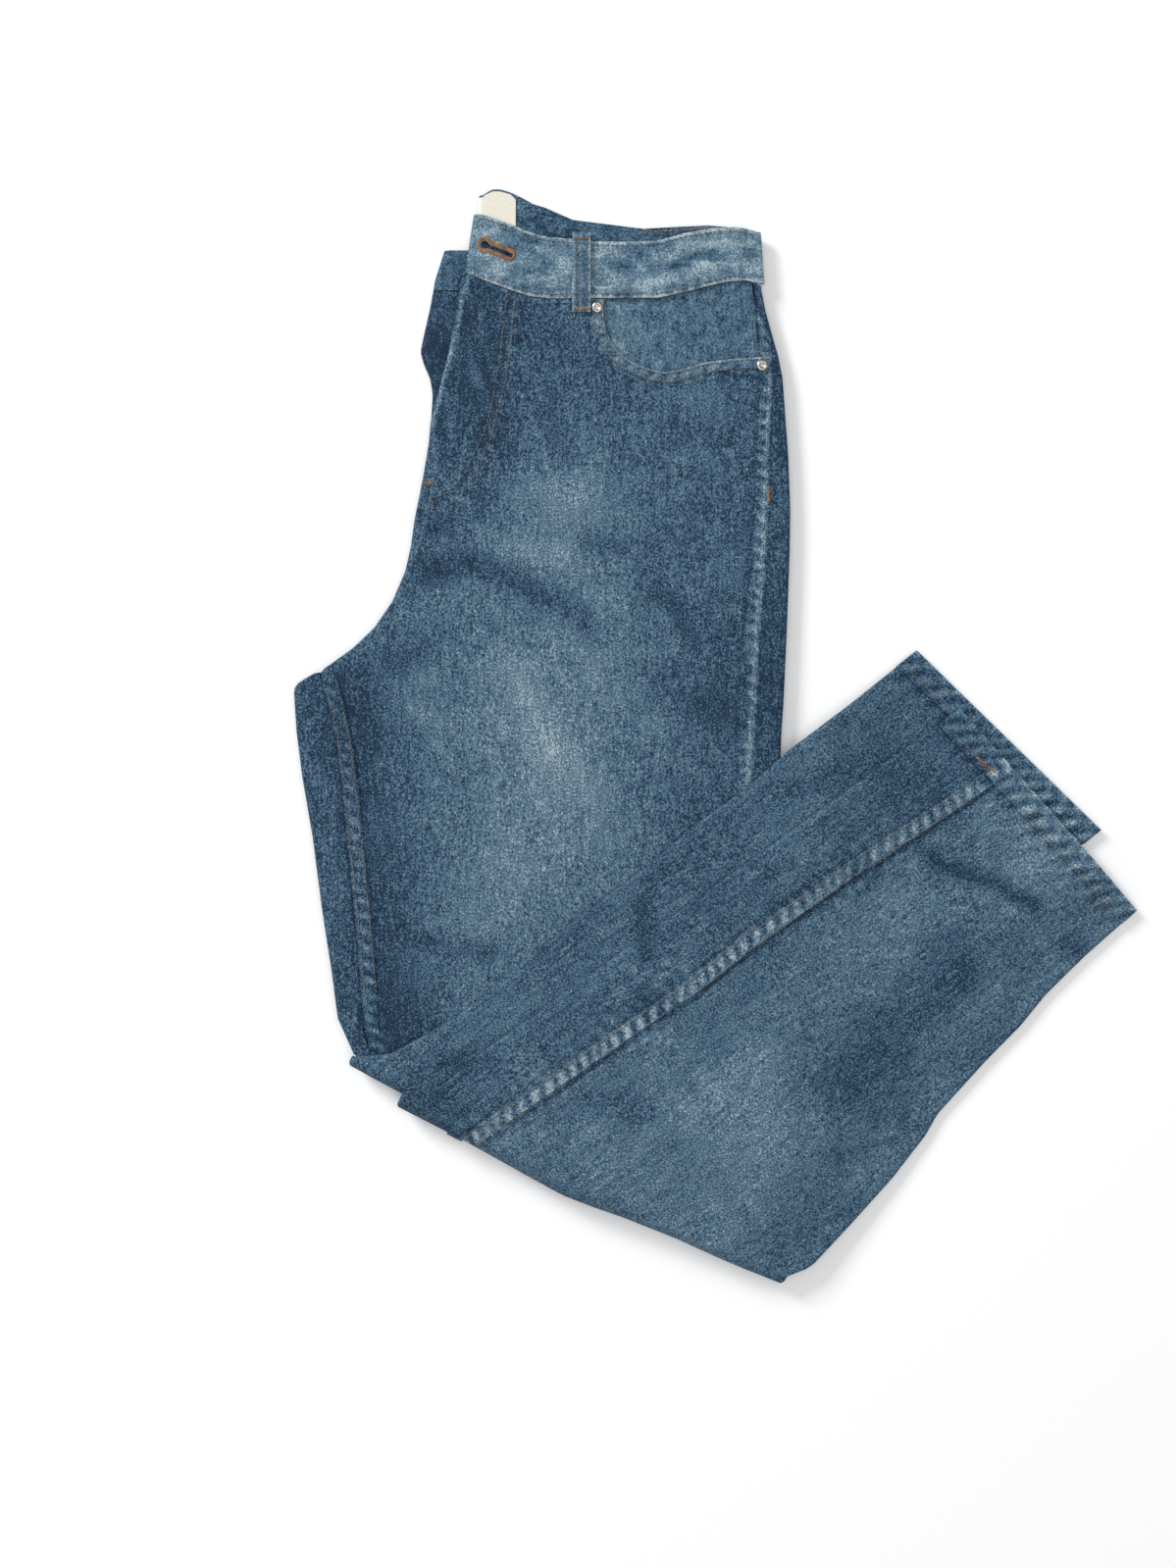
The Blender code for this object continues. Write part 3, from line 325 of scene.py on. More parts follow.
# Sections across the legs
class Section:
    """Sections across a leg: w from the left or upper edge, h through the leg, one row each."""

    def __init__(self, left, right, seam, side, kind, top=None, turn=None, bottom=0.0, relief=None):
        self.left, self.right = np.array(left, float), np.array(right, float)
        self.width = np.hypot(*(self.right - self.left))
        self.seam, self.side, self.kind = seam, side, kind
        self.top, self.turn, self.bottom, self.relief = top, turn, bottom, relief
        self.bend, self.curve, self.span = None, None, None

    def plan(self, w):
        """The place at a width across the section."""
        share = w / self.width
        if self.span is not None:
            a = self.span[0] + (self.span[1] - self.span[0]) * share
            return self.curve(a)
        x = self.left[0] + (self.right[0] - self.left[0]) * share
        y = self.left[1] + (self.right[1] - self.left[1]) * share
        if self.curve is not None:
            a = (x - FOLD_START[0]) * FOLD_ALONG[0] + (y - FOLD_START[1]) * FOLD_ALONG[1]
            return self.curve(a)
        return x, y

    def sink(self, x, y, w, shown):
        """How far the cloth sinks, all of it on the side that shows and none at the edges."""
        if self.relief is None:
            return 0.0
        return self.relief(x, y) * smooth(shown) * smooth(w / 12) * smooth((self.width - w) / 12)

    def place(self, w, h):
        """The place of a point of the outline, in millimetres."""
        x, y = self.plan(w)
        if self.kind == "upper":
            if self.bend is not None:
                y = y + self.bend(x, h)
            return x, y, self.bottom + h - self.sink(x, y, w, (h - ROUND) / ROUND)
        if self.kind == "folded":
            return x, y, self.top(x, y) - h - self.sink(x, y, w, (ROUND - h) / ROUND)
        radius = (self.top(x, y) - self.bottom) / 2
        out = (radius - h) * np.sin(self.turn)
        z = self.bottom + radius + (radius - h) * np.cos(self.turn)
        return x + FOLD_OUT[0] * out, y + FOLD_OUT[1] * out, z


def outline(width, p):
    """Points (w, h) and outward directions at lengths p along a flattened leg's outline."""
    flat = width - 2 * ROUND
    p = np.mod(p, 4 * QUARTER + 2 * flat)
    turn = [p / ROUND, (p - QUARTER - flat) / ROUND, (p - 3 * QUARTER - 2 * flat) / ROUND]
    where = [p < QUARTER, p < QUARTER + flat, p < 3 * QUARTER + flat, p < 3 * QUARTER + 2 * flat]
    sines = [np.sin(a) for a in turn]
    cosines = [np.cos(a) for a in turn]
    w = np.select(where, [ROUND - ROUND * cosines[0], ROUND + p - QUARTER, width - ROUND + ROUND * sines[1],
                          width - ROUND - (p - 3 * QUARTER - flat)], ROUND - ROUND * sines[2])
    h = np.select(where, [ROUND + ROUND * sines[0], LEG + 0 * p, ROUND + ROUND * cosines[1], 0 * p],
                  ROUND - ROUND * cosines[2])
    out_w = np.select(where, [-cosines[0], 0 * p, sines[1], 0 * p], -sines[2])
    out_h = np.select(where, [sines[0], 1 + 0 * p, cosines[1], -1 + 0 * p], -cosines[2])
    return w, h, out_w, out_h


def far_side(w):
    """Length along the outline to a width on the side that shows above."""
    return max(0.0, QUARTER + w - ROUND)


def near_side(width, w):
    """Length along the outline to a width on the other side."""
    return 3 * QUARTER + (width - 2 * ROUND) + (width - ROUND - w)


def around(width):
    """Length of the whole outline."""
    return 4 * QUARTER + 2 * (width - 2 * ROUND)


def fold_xy(a, out):
    """The place at a length along the knee fold and a distance out from it."""
    x = FOLD_START[0] + FOLD_ALONG[0] * a + FOLD_OUT[0] * out
    y = FOLD_START[1] + FOLD_ALONG[1] * a + FOLD_OUT[1] * out
    return x, y


def left_tangent(a):
    """Where the left leg turns over at the knee fold."""
    return fold_xy(a, read(LEFT_FOLD, "a", a, "out"))


def right_tangent(a):
    """Where the right leg turns over at the knee fold."""
    out = read(RIGHT_FOLD, "a", a, "out")
    x, y = fold_xy(a, out - 10)
    return fold_xy(a, out - right_leg_top(x, y) / 2)


def back_bottom(x):
    """The back waistband's lower edge."""
    return 297.5 + (30 - x) * 0.108


def front_bend(x, h):
    """How far the panel's top edge moves to follow the waist seam."""
    return read(FRONT_SEAM, "x", x, "y") - 2 * GAP - WAIST_Y


def back_bend(x, h):
    """The same for the back panel, which ends higher on its lower side."""
    return np.where(h > ROUND, front_bend(x, h), back_bottom(x) - 2 * GAP - WAIST_Y)


# Rows of sections
def fine_heights(step):
    """Left and right y of the upper part's sections, from the waist to the knee fold."""
    marks = np.array([(290, 290), (-26, -26), (-66, -80), (-116, -145), (-153, -205), (-187, -275)], float)
    lengths = np.abs(np.diff(marks[:, 0]))
    result = [marks[0]]
    for i, length in enumerate(lengths):
        count = max(1, int(round(length / step)))
        for j in range(1, count + 1):
            result.append(marks[i] + (marks[i + 1] - marks[i]) * j / count)
    return result


def upper_sections(step, front):
    """Sections from the waist to the knee fold, for the front or back panel."""
    rows = []
    for left_y, right_y in fine_heights(step):
        on_fly = left_y > 210
        edge = read(OUTER_EDGE, "y", left_y, "x")
        if front and on_fly:
            edge = read(FLY_EDGE, "y", left_y, "x") - ROUND
        if not front and left_y > 45:
            edge = edge + 9
        right = read(RIGHT_EDGE, "y", right_y, "x")
        seam = read(INSEAM, "y", left_y, "x") - edge if left_y < 45 else 0.0
        if front and on_fly:
            seam = ROUND
        side = read(SIDE_SEAM, "y", right_y, "x") - edge
        row = Section((edge, left_y), (right, right_y), seam, side, "upper", bottom=LEFT_Z,
                      relief=relief_upper if front else None)
        row.y = left_y
        fade = smooth((left_y - 250) / 40)
        if fade > 0:
            bend = front_bend if front else back_bend
            row.bend = lambda x, h, bend=bend, fade=fade: bend(x, h) * fade
        rows.append(row)
    left, right = left_tangent(2.0), left_tangent(262.0)
    end = Section(left, right, 16.0, 238.0, "upper", bottom=LEFT_Z)
    end.curve = lambda a: fold_xy(a, read(LEFT_FOLD, "a", a, "out") - 4 * GAP)
    end.y = -212.0
    rows.append(end)
    return rows


def leg_sections(top_edge, low_edge, starts, ends, step, seam_table, top, relief):
    """Sections across a folded lower leg, from the knee fold to the hem."""
    length = ends[0] - starts[0]
    count = int(round(length / step))
    rows = []
    for i in range(count + 1):
        f = i / count
        s_top = starts[0] + (ends[0] - starts[0]) * f
        s_low = starts[1] + (ends[1] - starts[1]) * f
        q_top, q_low = read(top_edge, "s", s_top, "q"), read(low_edge, "s", s_low, "q")
        left, right = np.array(leg_xy(s_top, q_top)), np.array(leg_xy(s_low, q_low))
        width = np.hypot(*(right - left))
        seam = width * (read(seam_table, "s", s_top, "q") - q_top) / (q_low - q_top) if seam_table else 0.0
        row = Section(left, right, seam, width, "folded", top=top, relief=relief)
        row.y = s_top
        rows.append(row)
    return rows


def wrap_sections(a_start, a_end, seam, top, bottom, tangent, turns):
    """Sections round the knee fold, one at each turn in degrees."""
    rows = []
    for turn in turns:
        row = Section(tangent(a_start), tangent(a_end), seam, 0.0, "wrap", top=top, turn=radians(turn),
                      bottom=bottom)
        row.span, row.curve = (a_start, a_end), tangent
        row.y = 0.0
        rows.append(row)
    return rows


def hem_sections(rows, width, parts):
    """Cuts the hem's stretch off a leg's sections; gives the panel's rows and the hem's."""
    last = rows[-1]
    first = rows[-2]
    for candidate in rows:
        if np.hypot(*((last.left + last.right - candidate.left - candidate.right) / 2)) > width + 6:
            first = candidate
    length = np.hypot(*((last.left + last.right - first.left - first.right) / 2))

    def between(back):
        f = back / length
        left = last.left + (first.left - last.left) * f
        right = last.right + (first.right - last.right) * f
        row = Section(left, right, last.seam + (first.seam - last.seam) * f, 0.0, "folded", top=last.top,
                      relief=last.relief)
        row.y = last.y + (first.y - last.y) * f
        return row

    kept = rows[:rows.index(first) + 1]
    return kept + [between(width + GAP)], [between(width * (1 - i / parts)) for i in range(parts + 1)]


class Mixed:
    """A section part of the way from one section to the next, for rows that the tables don't give."""

    def __init__(self, first, second, share):
        self.first, self.second, self.share = first, second, share
        self.width = first.width + (second.width - first.width) * share
        self.seam = first.seam + (second.seam - first.seam) * share
        self.side = first.side + (second.side - first.side) * share
        self.y = first.y + (second.y - first.y) * share

    def place(self, w, h):
        one = self.first.place(w * self.first.width / self.width, h)
        two = self.second.place(w * self.second.width / self.width, h)
        return [a + (b - a) * self.share for a, b in zip(one, two)]


def filled(first, second, step):
    """Sections between two, about a step apart, without either of them."""
    middle = [np.array(row.place(np.array([row.width / 2]), np.array([0.0]))[:2]) for row in (first, second)]
    count = int(np.ceil(np.hypot(*(middle[1] - middle[0]))[0] / step))
    return [Mixed(first, second, i / count) for i in range(1, count)]


def stretches(marks, counts):
    """Lengths through rising marks, with a set number of even steps from each to the next."""
    result = [marks[0]]
    for i, count in enumerate(counts):
        low, high = marks[i], max(marks[i + 1], marks[i] + 0.4)
        result += [low + (high - low) * j / count for j in range(1, count + 1)]
        marks = marks[:i + 1] + [high] + marks[i + 2:]
    return np.array(result)


# Making meshes
def closed_mesh(name, points, faces):
    """A mesh from points in millimetres, with its faces turned outward."""
    mesh = bpy.data.meshes.new(name)
    mesh.from_pydata((np.asarray(points, float) * METRE).tolist(), [], faces)
    shape = bmesh.new()
    shape.from_mesh(mesh)
    bmesh.ops.recalc_face_normals(shape, faces=shape.faces)
    shape.to_mesh(mesh)
    shape.free()
    return mesh


def soften(mesh):
    """Smooth shading, with the walls' edges left sharp."""
    mesh.shade_smooth()
    mesh.set_sharp_from_angle(angle=radians(50))


def add_object(name, data):
    """Puts a mesh, a lamp or a camera into the scene."""
    made = bpy.data.objects.new(name, data)
    bpy.context.scene.collection.objects.link(made)
    return made


def add_piece(name, points, faces):
    """A closed mesh from points in millimetres, riding on the part's one body."""
    mesh = closed_mesh(name, points, faces)
    soften(mesh)
    made = add_object(name, mesh)
    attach(made, "root")
    return made


def wall_faces(rows, columns, closed=False):
    """Faces of a wall between two grids, with its rims."""
    start = rows * columns
    spans = columns if closed else columns - 1
    faces = []
    for i in range(rows - 1):
        for j in range(spans):
            k = (j + 1) % columns
            quad = [i * columns + j, i * columns + k, (i + 1) * columns + k, (i + 1) * columns + j]
            faces.append(quad)
            faces.append([start + v for v in reversed(quad)])
    for i in (0, rows - 1):
        for j in range(spans):
            k = (j + 1) % columns
            faces.append([i * columns + j, i * columns + k, start + i * columns + k, start + i * columns + j])
    if not closed:
        for j in (0, columns - 1):
            for i in range(rows - 1):
                a, b = i * columns + j, (i + 1) * columns + j
                faces.append([a, b, start + b, start + a])
    return faces


def add_wall(name, outer, inner, closed=False):
    """A wall between two grids of points, rows by columns by three."""
    outer, inner = np.asarray(outer, float), np.asarray(inner, float)
    rows, columns = outer.shape[:2]
    points = np.concatenate([outer.reshape(-1, 3), inner.reshape(-1, 3)])
    return add_piece(name, points, wall_faces(rows, columns, closed))


def panel(name, rows, lengths, rise=0.0, wall=WALL, closed=False, even=True):
    """A cloth wall over the sections, as in the solids."""
    outer, inner = [], []
    for row in rows:
        w, h, out_w, out_h = outline(row.width, lengths(row))
        lift = rise if even else rise * (1 - h / LEG)
        outer.append(np.stack(row.place(w + out_w * lift, h + out_h * lift), axis=1))
        inner.append(np.stack(row.place(w + out_w * (lift - wall), h + out_h * (lift - wall)), axis=1))
    return add_wall(name, outer, inner, closed)


def sheet(node):
    """Hides the solid that a cloth piece stands for."""
    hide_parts(node)


STEP = 3.4


def columns_for(rows, start_end):
    """How many even steps the widest row needs."""
    return int(np.ceil(max(end - start for start, end in map(start_end, rows)) / STEP))


# The left half's upper part
def make_left_panels():
    """The left front, back and inseam down to the knee fold."""
    fronts = upper_sections(STEP, True)
    fronts = fronts[:-1] + filled(fronts[-2], fronts[-1], STEP) + fronts[-1:]
    backs = upper_sections(STEP, False)
    backs = backs[:-1] + filled(backs[-2], backs[-1], STEP) + backs[-1:]

    def front_span(row):
        return far_side(row.seam) if row.seam else 0.0, far_side(row.side)

    count = columns_for(fronts, front_span)

    def front_lengths(row):
        start, end = front_span(row)
        return stretches([start, max(QUARTER, start + 1), end], [5, count])

    front = panel("cloth_left_front", fronts, front_lengths)

    def back_lengths(row):
        start = far_side(row.side) + GAP
        turn = QUARTER + (row.width - 2 * ROUND)
        below = turn + 2 * QUARTER
        counts = [6, 10, count, 8, 4]
        if row.seam == 0.0:
            left = near_side(row.width, ROUND + 3)
            return stretches([start, turn, below, left, left + 1, left + 2], counts)
        left = around(row.width) - QUARTER
        end = around(row.width) + far_side(row.seam) - 3 * GAP
        return stretches([start, turn, below, left, left + 2 * QUARTER, end], counts)

    back = panel("cloth_left_back", backs, back_lengths)
    seam_rows = [row for row in fronts if -187.5 < row.y < 39.5]

    def seam_lengths(row):
        start = far_side(row.seam) - 0.5
        return np.linspace(start, start + INSEAM_WIDTH, 8)

    seam = panel("cloth_left_inseam", seam_rows, seam_lengths, rise=GAP + 1.0, wall=1.0)
    return front, back, seam


def leg_strip(row):
    """The stretch that sets how many steps a folded leg's row needs."""
    return 0.0, row.width


# The folded lower legs
def folded_rows(top_edge, low_edge, starts, ends, seam_table, top, relief):
    """The rows past the knee fold: even ones, those of the hem apart."""
    rows = leg_sections(top_edge, low_edge, starts, ends, STEP, seam_table, top, relief)
    first = int(round(len(rows) / 20))
    return hem_sections(rows[first:], HEM_WIDTH, 5)


def make_left_lower():
    """The left leg's two panels past the knee fold, and its hem."""
    rows, hem = folded_rows(LEFT_LEG_TOP, LEFT_LEG_LOW, (-322, -204), (141.7, 172), None, left_leg_top,
                            relief_left)
    turns = list(range(178, 5, -8)) + [0]
    wrap = wrap_sections(2, 262, 0.0, left_leg_top, LEFT_Z, left_tangent, turns)
    rows = wrap + filled(wrap[-1], rows[0], STEP) + rows
    count = columns_for(rows, leg_strip)

    def back_lengths(row):
        start = QUARTER + (row.width - 2 * ROUND) + QUARTER
        end = around(row.width)
        return stretches([start, start + QUARTER, end - QUARTER, end], [5, count, 5])

    def front_lengths(row):
        start, end = GAP, 2 * QUARTER + (row.width - 2 * ROUND) - GAP
        return stretches([start, start + QUARTER, end - QUARTER, end], [5, count // 3, 5])

    back = panel("cloth_left_back_lower", rows, back_lengths)
    front = panel("cloth_left_front_lower", rows, front_lengths)
    hem = make_hem("cloth_left_hem", hem, count)
    return back, front, hem


def make_hem(name, rows, count):
    """A hem band all round a leg's end."""
    def lengths(row):
        flat = row.width - 2 * ROUND
        turn, under = QUARTER + flat, 3 * QUARTER + 2 * flat
        marks = [-QUARTER, QUARTER, turn, turn + 2 * QUARTER, under]
        return stretches(marks, [10, count // 2, 10, count])[:-1]
    return panel(name, rows, lengths, rise=0.7, wall=HEM_WALL, closed=True, even=False)


def make_right_lower():
    """The right leg's two panels past the knee fold, its inseam and its hem."""
    edges = (RIGHT_LEG_TOP, RIGHT_LEG_LOW, (-306, -175), (141.5, 160.5))
    rows, hem = folded_rows(*edges, RIGHT_INSEAM, right_leg_top, relief_right)
    start_row = leg_sections(*edges, STEP, RIGHT_INSEAM, right_leg_top, None)[0]
    turns = list(range(178, 5, -6)) + [0]
    wrap = wrap_sections(43, 325, start_row.seam, right_leg_top, 0.0, right_tangent, turns)
    rows = wrap + filled(wrap[-1], rows[0], STEP) + rows
    count = columns_for(rows, leg_strip)

    def front_lengths(row):
        start = QUARTER + (row.width - 2 * ROUND) + QUARTER
        end = near_side(row.width, row.seam)
        return stretches([start, start + QUARTER, end], [5, count])

    def back_lengths(row):
        start = near_side(row.width, row.seam) + GAP
        turn = around(row.width)
        end = turn + 3 * QUARTER + (row.width - 2 * ROUND) - 2 * GAP
        marks = [start, turn - QUARTER, turn + QUARTER, end - 2 * QUARTER, end]
        return stretches(marks, [14, 10, count // 2, 8])

    def seam_lengths(row):
        start = near_side(row.width, row.seam) + 0.5 - INSEAM_WIDTH
        return np.linspace(start, start + INSEAM_WIDTH, 8)

    front = panel("cloth_right_front_lower", rows, front_lengths)
    back = panel("cloth_right_back_lower", rows, back_lengths)
    seam = panel("cloth_right_inseam", rows[9:], seam_lengths, rise=GAP + 1.0, wall=1.0)
    hem = make_hem("cloth_right_hem", hem, count)
    return front, back, seam, hem


# The waist, the fly's edge and the pocket
# Shares of the way from where a strip starts to its rolled edge
LEAD = np.linspace(0, 1, 5)[:-1]


def row_at(x, y, z):
    """A row of points, from any mix of numbers and arrays."""
    return np.stack(np.broadcast_arrays(x, y, z), axis=1)


def roll_section(x_edge, y, start, wall, top):
    """Outer and inner points from under the fly round the left edge to the surface."""
    half_width, half_height = ROLL, top / 2
    steps = 18
    a = np.radians(start - (90 + start) * np.arange(steps + 1) / steps)
    outer = row_at(x_edge + half_width - half_width * np.cos(a), y, half_height + half_height * np.sin(a))
    in_width, in_height = half_width - wall, half_height - wall
    inner = row_at(x_edge + half_width - in_width * np.cos(a), y, half_height + in_height * np.sin(a))
    return outer, inner


def make_right_strip():
    """The right front beside the fly, from under the left one round the fold."""
    outer, inner = [], []
    under_fly, top = 6.0, TOP_Z - WALL - GAP
    for y in np.arange(295.3, 49.9, -STEP):
        edge = read(OUTER_EDGE, "y", y, "x")
        fly = read(FLY_EDGE, "y", y, "x") + under_fly
        # Beside the fly the strip starts under it; lower down only its rolled edge is left
        shown = smooth((y - 198) / 18)
        start = 28 + 62 * shown
        side = edge + ROLL - ROLL * np.cos(radians(start)) + 0.5
        x_inner = side + (max(fly, edge + 7) - side) * shown
        out_row, in_row = roll_section(edge, y, start, WALL, top)
        lift = out_row[0][2] + 0.25
        high = lift + (top - lift) * shown
        first_out = np.array([x_inner, y, high])
        first_in = np.array([x_inner + 1.0 * (1 - shown), y, high - WALL + 0.4 * (1 - shown)])
        lead_out = first_out + (out_row[0] - first_out) * LEAD[:, None]
        lead_in = first_in + (in_row[0] - first_in) * LEAD[:, None]
        outer.append(np.concatenate([lead_out, out_row]))
        inner.append(np.concatenate([lead_in, in_row]))
    return add_wall("cloth_right_front_top", outer, inner)


BAND_CREASES = [
    (0.9, 4, [(-39, 309), (-26, 312), (-14, 318), (-2, 320.5), (7, 319)]),
    (0.7, 4, [(12, 325), (18, 323.5), (26, 320)]),
    (0.6, 4, [(-74, 311), (-64, 310.5), (-54, 312)]),
    (-0.5, 4, [(-10, 324), (0, 326), (25, 324)]),
    (0.5, 4, [(-120, 311), (-112, 309), (-104, 311)]),
    (0.4, 5, [(-60, 320), (-50, 316), (-42, 318)]),
]


def band_ripple(x, y):
    """Small waves where the waistband's two edges are stitched."""
    low, high = read(FRONT_SEAM, "x", x, "y"), read(FRONT_TOP, "x", x, "y")
    share = np.clip((y - low) / (high - low), 0, 1)
    edges = bell(share, 0.16) + bell(1 - share, 0.16)
    wave = np.sin(2 * pi * x / 8.5 + 1.4 * np.sin(x / 11)) * 0.34 * edges
    return wave + 0.15 * np.sin(x / 7 + 2 * np.sin(y / 9)) * np.sin(y / 6)


def make_waistband():
    """The waistband's left front, the back's inner face and the right front's end."""
    # The left front, then its turn round the right-hand fold
    radius = (BAND_TOP_Z - LEFT_Z) / 2
    middle = BAND_TOP_Z - radius
    parts = 16
    outer, inner = [], []
    shares = np.arange(parts + 1) / parts
    for x in np.concatenate([np.arange(-161, 22, 2.2), [22.0, 24.0]]):
        end_lean = -6.0 * smooth((-140 - x) / 20)
        low, high = read(FRONT_SEAM, "x", x + end_lean, "y"), read(FRONT_TOP, "x", x, "y")
        y = low + (high - low) * shares
        lean = end_lean * (1 - shares)
        rim = smooth(shares / 0.05) * smooth((1 - shares) / 0.05)
        sink = creased(x + lean, y, BAND_CREASES) + band_ripple(x + lean, y) + 0.5 * (1 - rim)
        outer.append(row_at(x + lean, y, BAND_TOP_Z - sink))
        inner.append(row_at(x + lean, y, BAND_TOP_Z - BAND_WALL))
    end_x = 26.2
    low, high = read(FRONT_SEAM, "x", end_x, "y"), read(FRONT_TOP, "x", end_x, "y")
    y = low + (high - low) * shares
    lean = 2.5 * (1 - shares)
    for turn in range(0, 181, 15):
        a = radians(turn)
        core = radius - BAND_WALL
        outer.append(row_at(end_x + lean + radius * np.sin(a), y, middle + radius * np.cos(a)))
        inner.append(row_at(end_x + lean + core * np.sin(a), y, middle + core * np.cos(a)))
    band = add_wall("cloth_waistband_front", outer, inner)

    # The back's inner face, then its turn under at the left end
    outer, inner = [], []
    shares = np.arange(9) / 8
    for x in np.arange(25.5, -153.5, -2.6):
        low, high = back_bottom(x), read(BACK_TOP, "x", x, "y")
        y = low + (high - low) * shares
        rim = smooth((1 - shares) / 0.08)
        outer.append(row_at(x, y, LEFT_Z + BACK_BAND_WALL - 0.4 * (1 - rim)))
        inner.append(row_at(x, y, LEFT_Z))
    end_x, turn_radius = -155.6, 2.3
    turn_z = LEFT_Z + BACK_BAND_WALL - turn_radius
    low, high = back_bottom(end_x), read(BACK_TOP, "x", end_x, "y")
    y = low + (high - low) * shares
    for turn in range(0, 121, 15):
        a = radians(turn)
        outer.append(row_at(end_x - turn_radius * np.sin(a), y, turn_z + turn_radius * np.cos(a)))
        inner.append(row_at(end_x - 0.3 * np.sin(a), y, turn_z + 0.3 * np.cos(a)))
    back = add_wall("cloth_waistband_back", outer, inner)

    # The right front's end, from under the left front round the fold
    outer, inner = [], []
    top = BAND_TOP_Z - BAND_WALL - GAP
    for y in np.linspace(296, 322.6, 14):
        edge = read(OUTER_EDGE, "y", y, "x")
        inner_x = read(FLY_EDGE, "y", y, "x") + 6 if y < 307 else -160.0
        out_row, in_row = roll_section(edge, y, 90, WALL, top)
        first_out, first_in = np.array([inner_x, y, top]), np.array([inner_x, y, top - WALL])
        outer.append(np.concatenate([first_out + (out_row[0] - first_out) * LEAD[:, None], out_row]))
        inner.append(np.concatenate([first_in + (in_row[0] - first_in) * LEAD[:, None], in_row]))
    end = add_wall("cloth_waistband_right_end", outer, inner)
    return band, back, end


BUTTONHOLE = (-145.0, 322.0)
BUTTONHOLE_ANGLE = radians(-22)
BUTTONHOLE_SLOT = (19.0, 2.6)
BUTTONHOLE_EYE = 2.6


def cut_away(target, points, faces):
    """Cuts a prism out of a piece and leaves no modifier on it."""
    cutter = add_object("cutter", closed_mesh("cutter", points, faces))
    cut = target.modifiers.new("cut", "BOOLEAN")
    cut.operation = "DIFFERENCE"
    cut.solver = "EXACT"
    cut.object = cutter
    bpy.context.view_layer.update()
    result = bpy.data.meshes.new_from_object(target.evaluated_get(bpy.context.evaluated_depsgraph_get()))
    target.modifiers.clear()
    target.data = result
    result.name = target.name
    soften(result)
    bpy.data.objects.remove(cutter, do_unlink=True)


def prism(outline_xy, low, high):
    """An upright prism over an outline."""
    count = len(outline_xy)
    points = [(x, y, z) for z in (low, high) for x, y in outline_xy]
    faces = [list(range(count)), list(range(count, 2 * count))]
    faces += [[i, (i + 1) % count, count + (i + 1) % count, count + i] for i in range(count)]
    return points, faces


def keyhole(grow):
    """The buttonhole's outline, a slot with a round eye at its left end, grown by a length."""
    reach, half = BUTTONHOLE_SLOT[0] / 2, BUTTONHOLE_SLOT[1] / 2 + grow
    eye = BUTTONHOLE_EYE + grow
    meet = np.arcsin(min(0.99, half / eye))
    angles = np.linspace(meet, 2 * pi - meet, 20)
    points = [(-reach + eye * np.cos(a), eye * np.sin(a)) for a in angles]
    angles = np.linspace(-pi / 2, pi / 2, 9)
    points += [(reach + 0.6 * half * np.cos(a), half * np.sin(a)) for a in angles]
    turn_cos, turn_sin = np.cos(BUTTONHOLE_ANGLE), np.sin(BUTTONHOLE_ANGLE)
    return [(BUTTONHOLE[0] + x * turn_cos - y * turn_sin, BUTTONHOLE[1] + x * turn_sin + y * turn_cos)
            for x, y in points]


def smooth_route(points, step):
    """Evenly spaced points on a smooth curve through the given ones."""
    points = np.array(points, float)
    padded = np.concatenate([[2 * points[0] - points[1]], points, [2 * points[-1] - points[-2]]])
    fine = []
    for i in range(1, len(padded) - 2):
        p0, p1, p2, p3 = padded[i - 1:i + 3]
        for t in np.linspace(0, 1, 12, endpoint=False):
            fine.append(0.5 * (2 * p1 + (p2 - p0) * t + (2 * p0 - 5 * p1 + 4 * p2 - p3) * t ** 2
                               + (3 * p1 - p0 - 3 * p2 + p3) * t ** 3))
    fine.append(points[-1])
    fine = np.array(fine)
    lengths = np.concatenate([[0], np.cumsum(np.hypot(*np.diff(fine, axis=0).T))])
    count = max(1, int(round(lengths[-1] / step)))
    where = np.linspace(0, lengths[-1], count + 1)
    return np.stack([np.interp(where, lengths, fine[:, i]) for i in range(2)], axis=1)


def side_steps(route):
    """Unit directions along a route and to its right-hand side."""
    along = np.gradient(route, axis=0)
    along /= np.hypot(along[:, 0], along[:, 1])[:, None]
    return along, np.stack([along[:, 1], -along[:, 0]], axis=1)


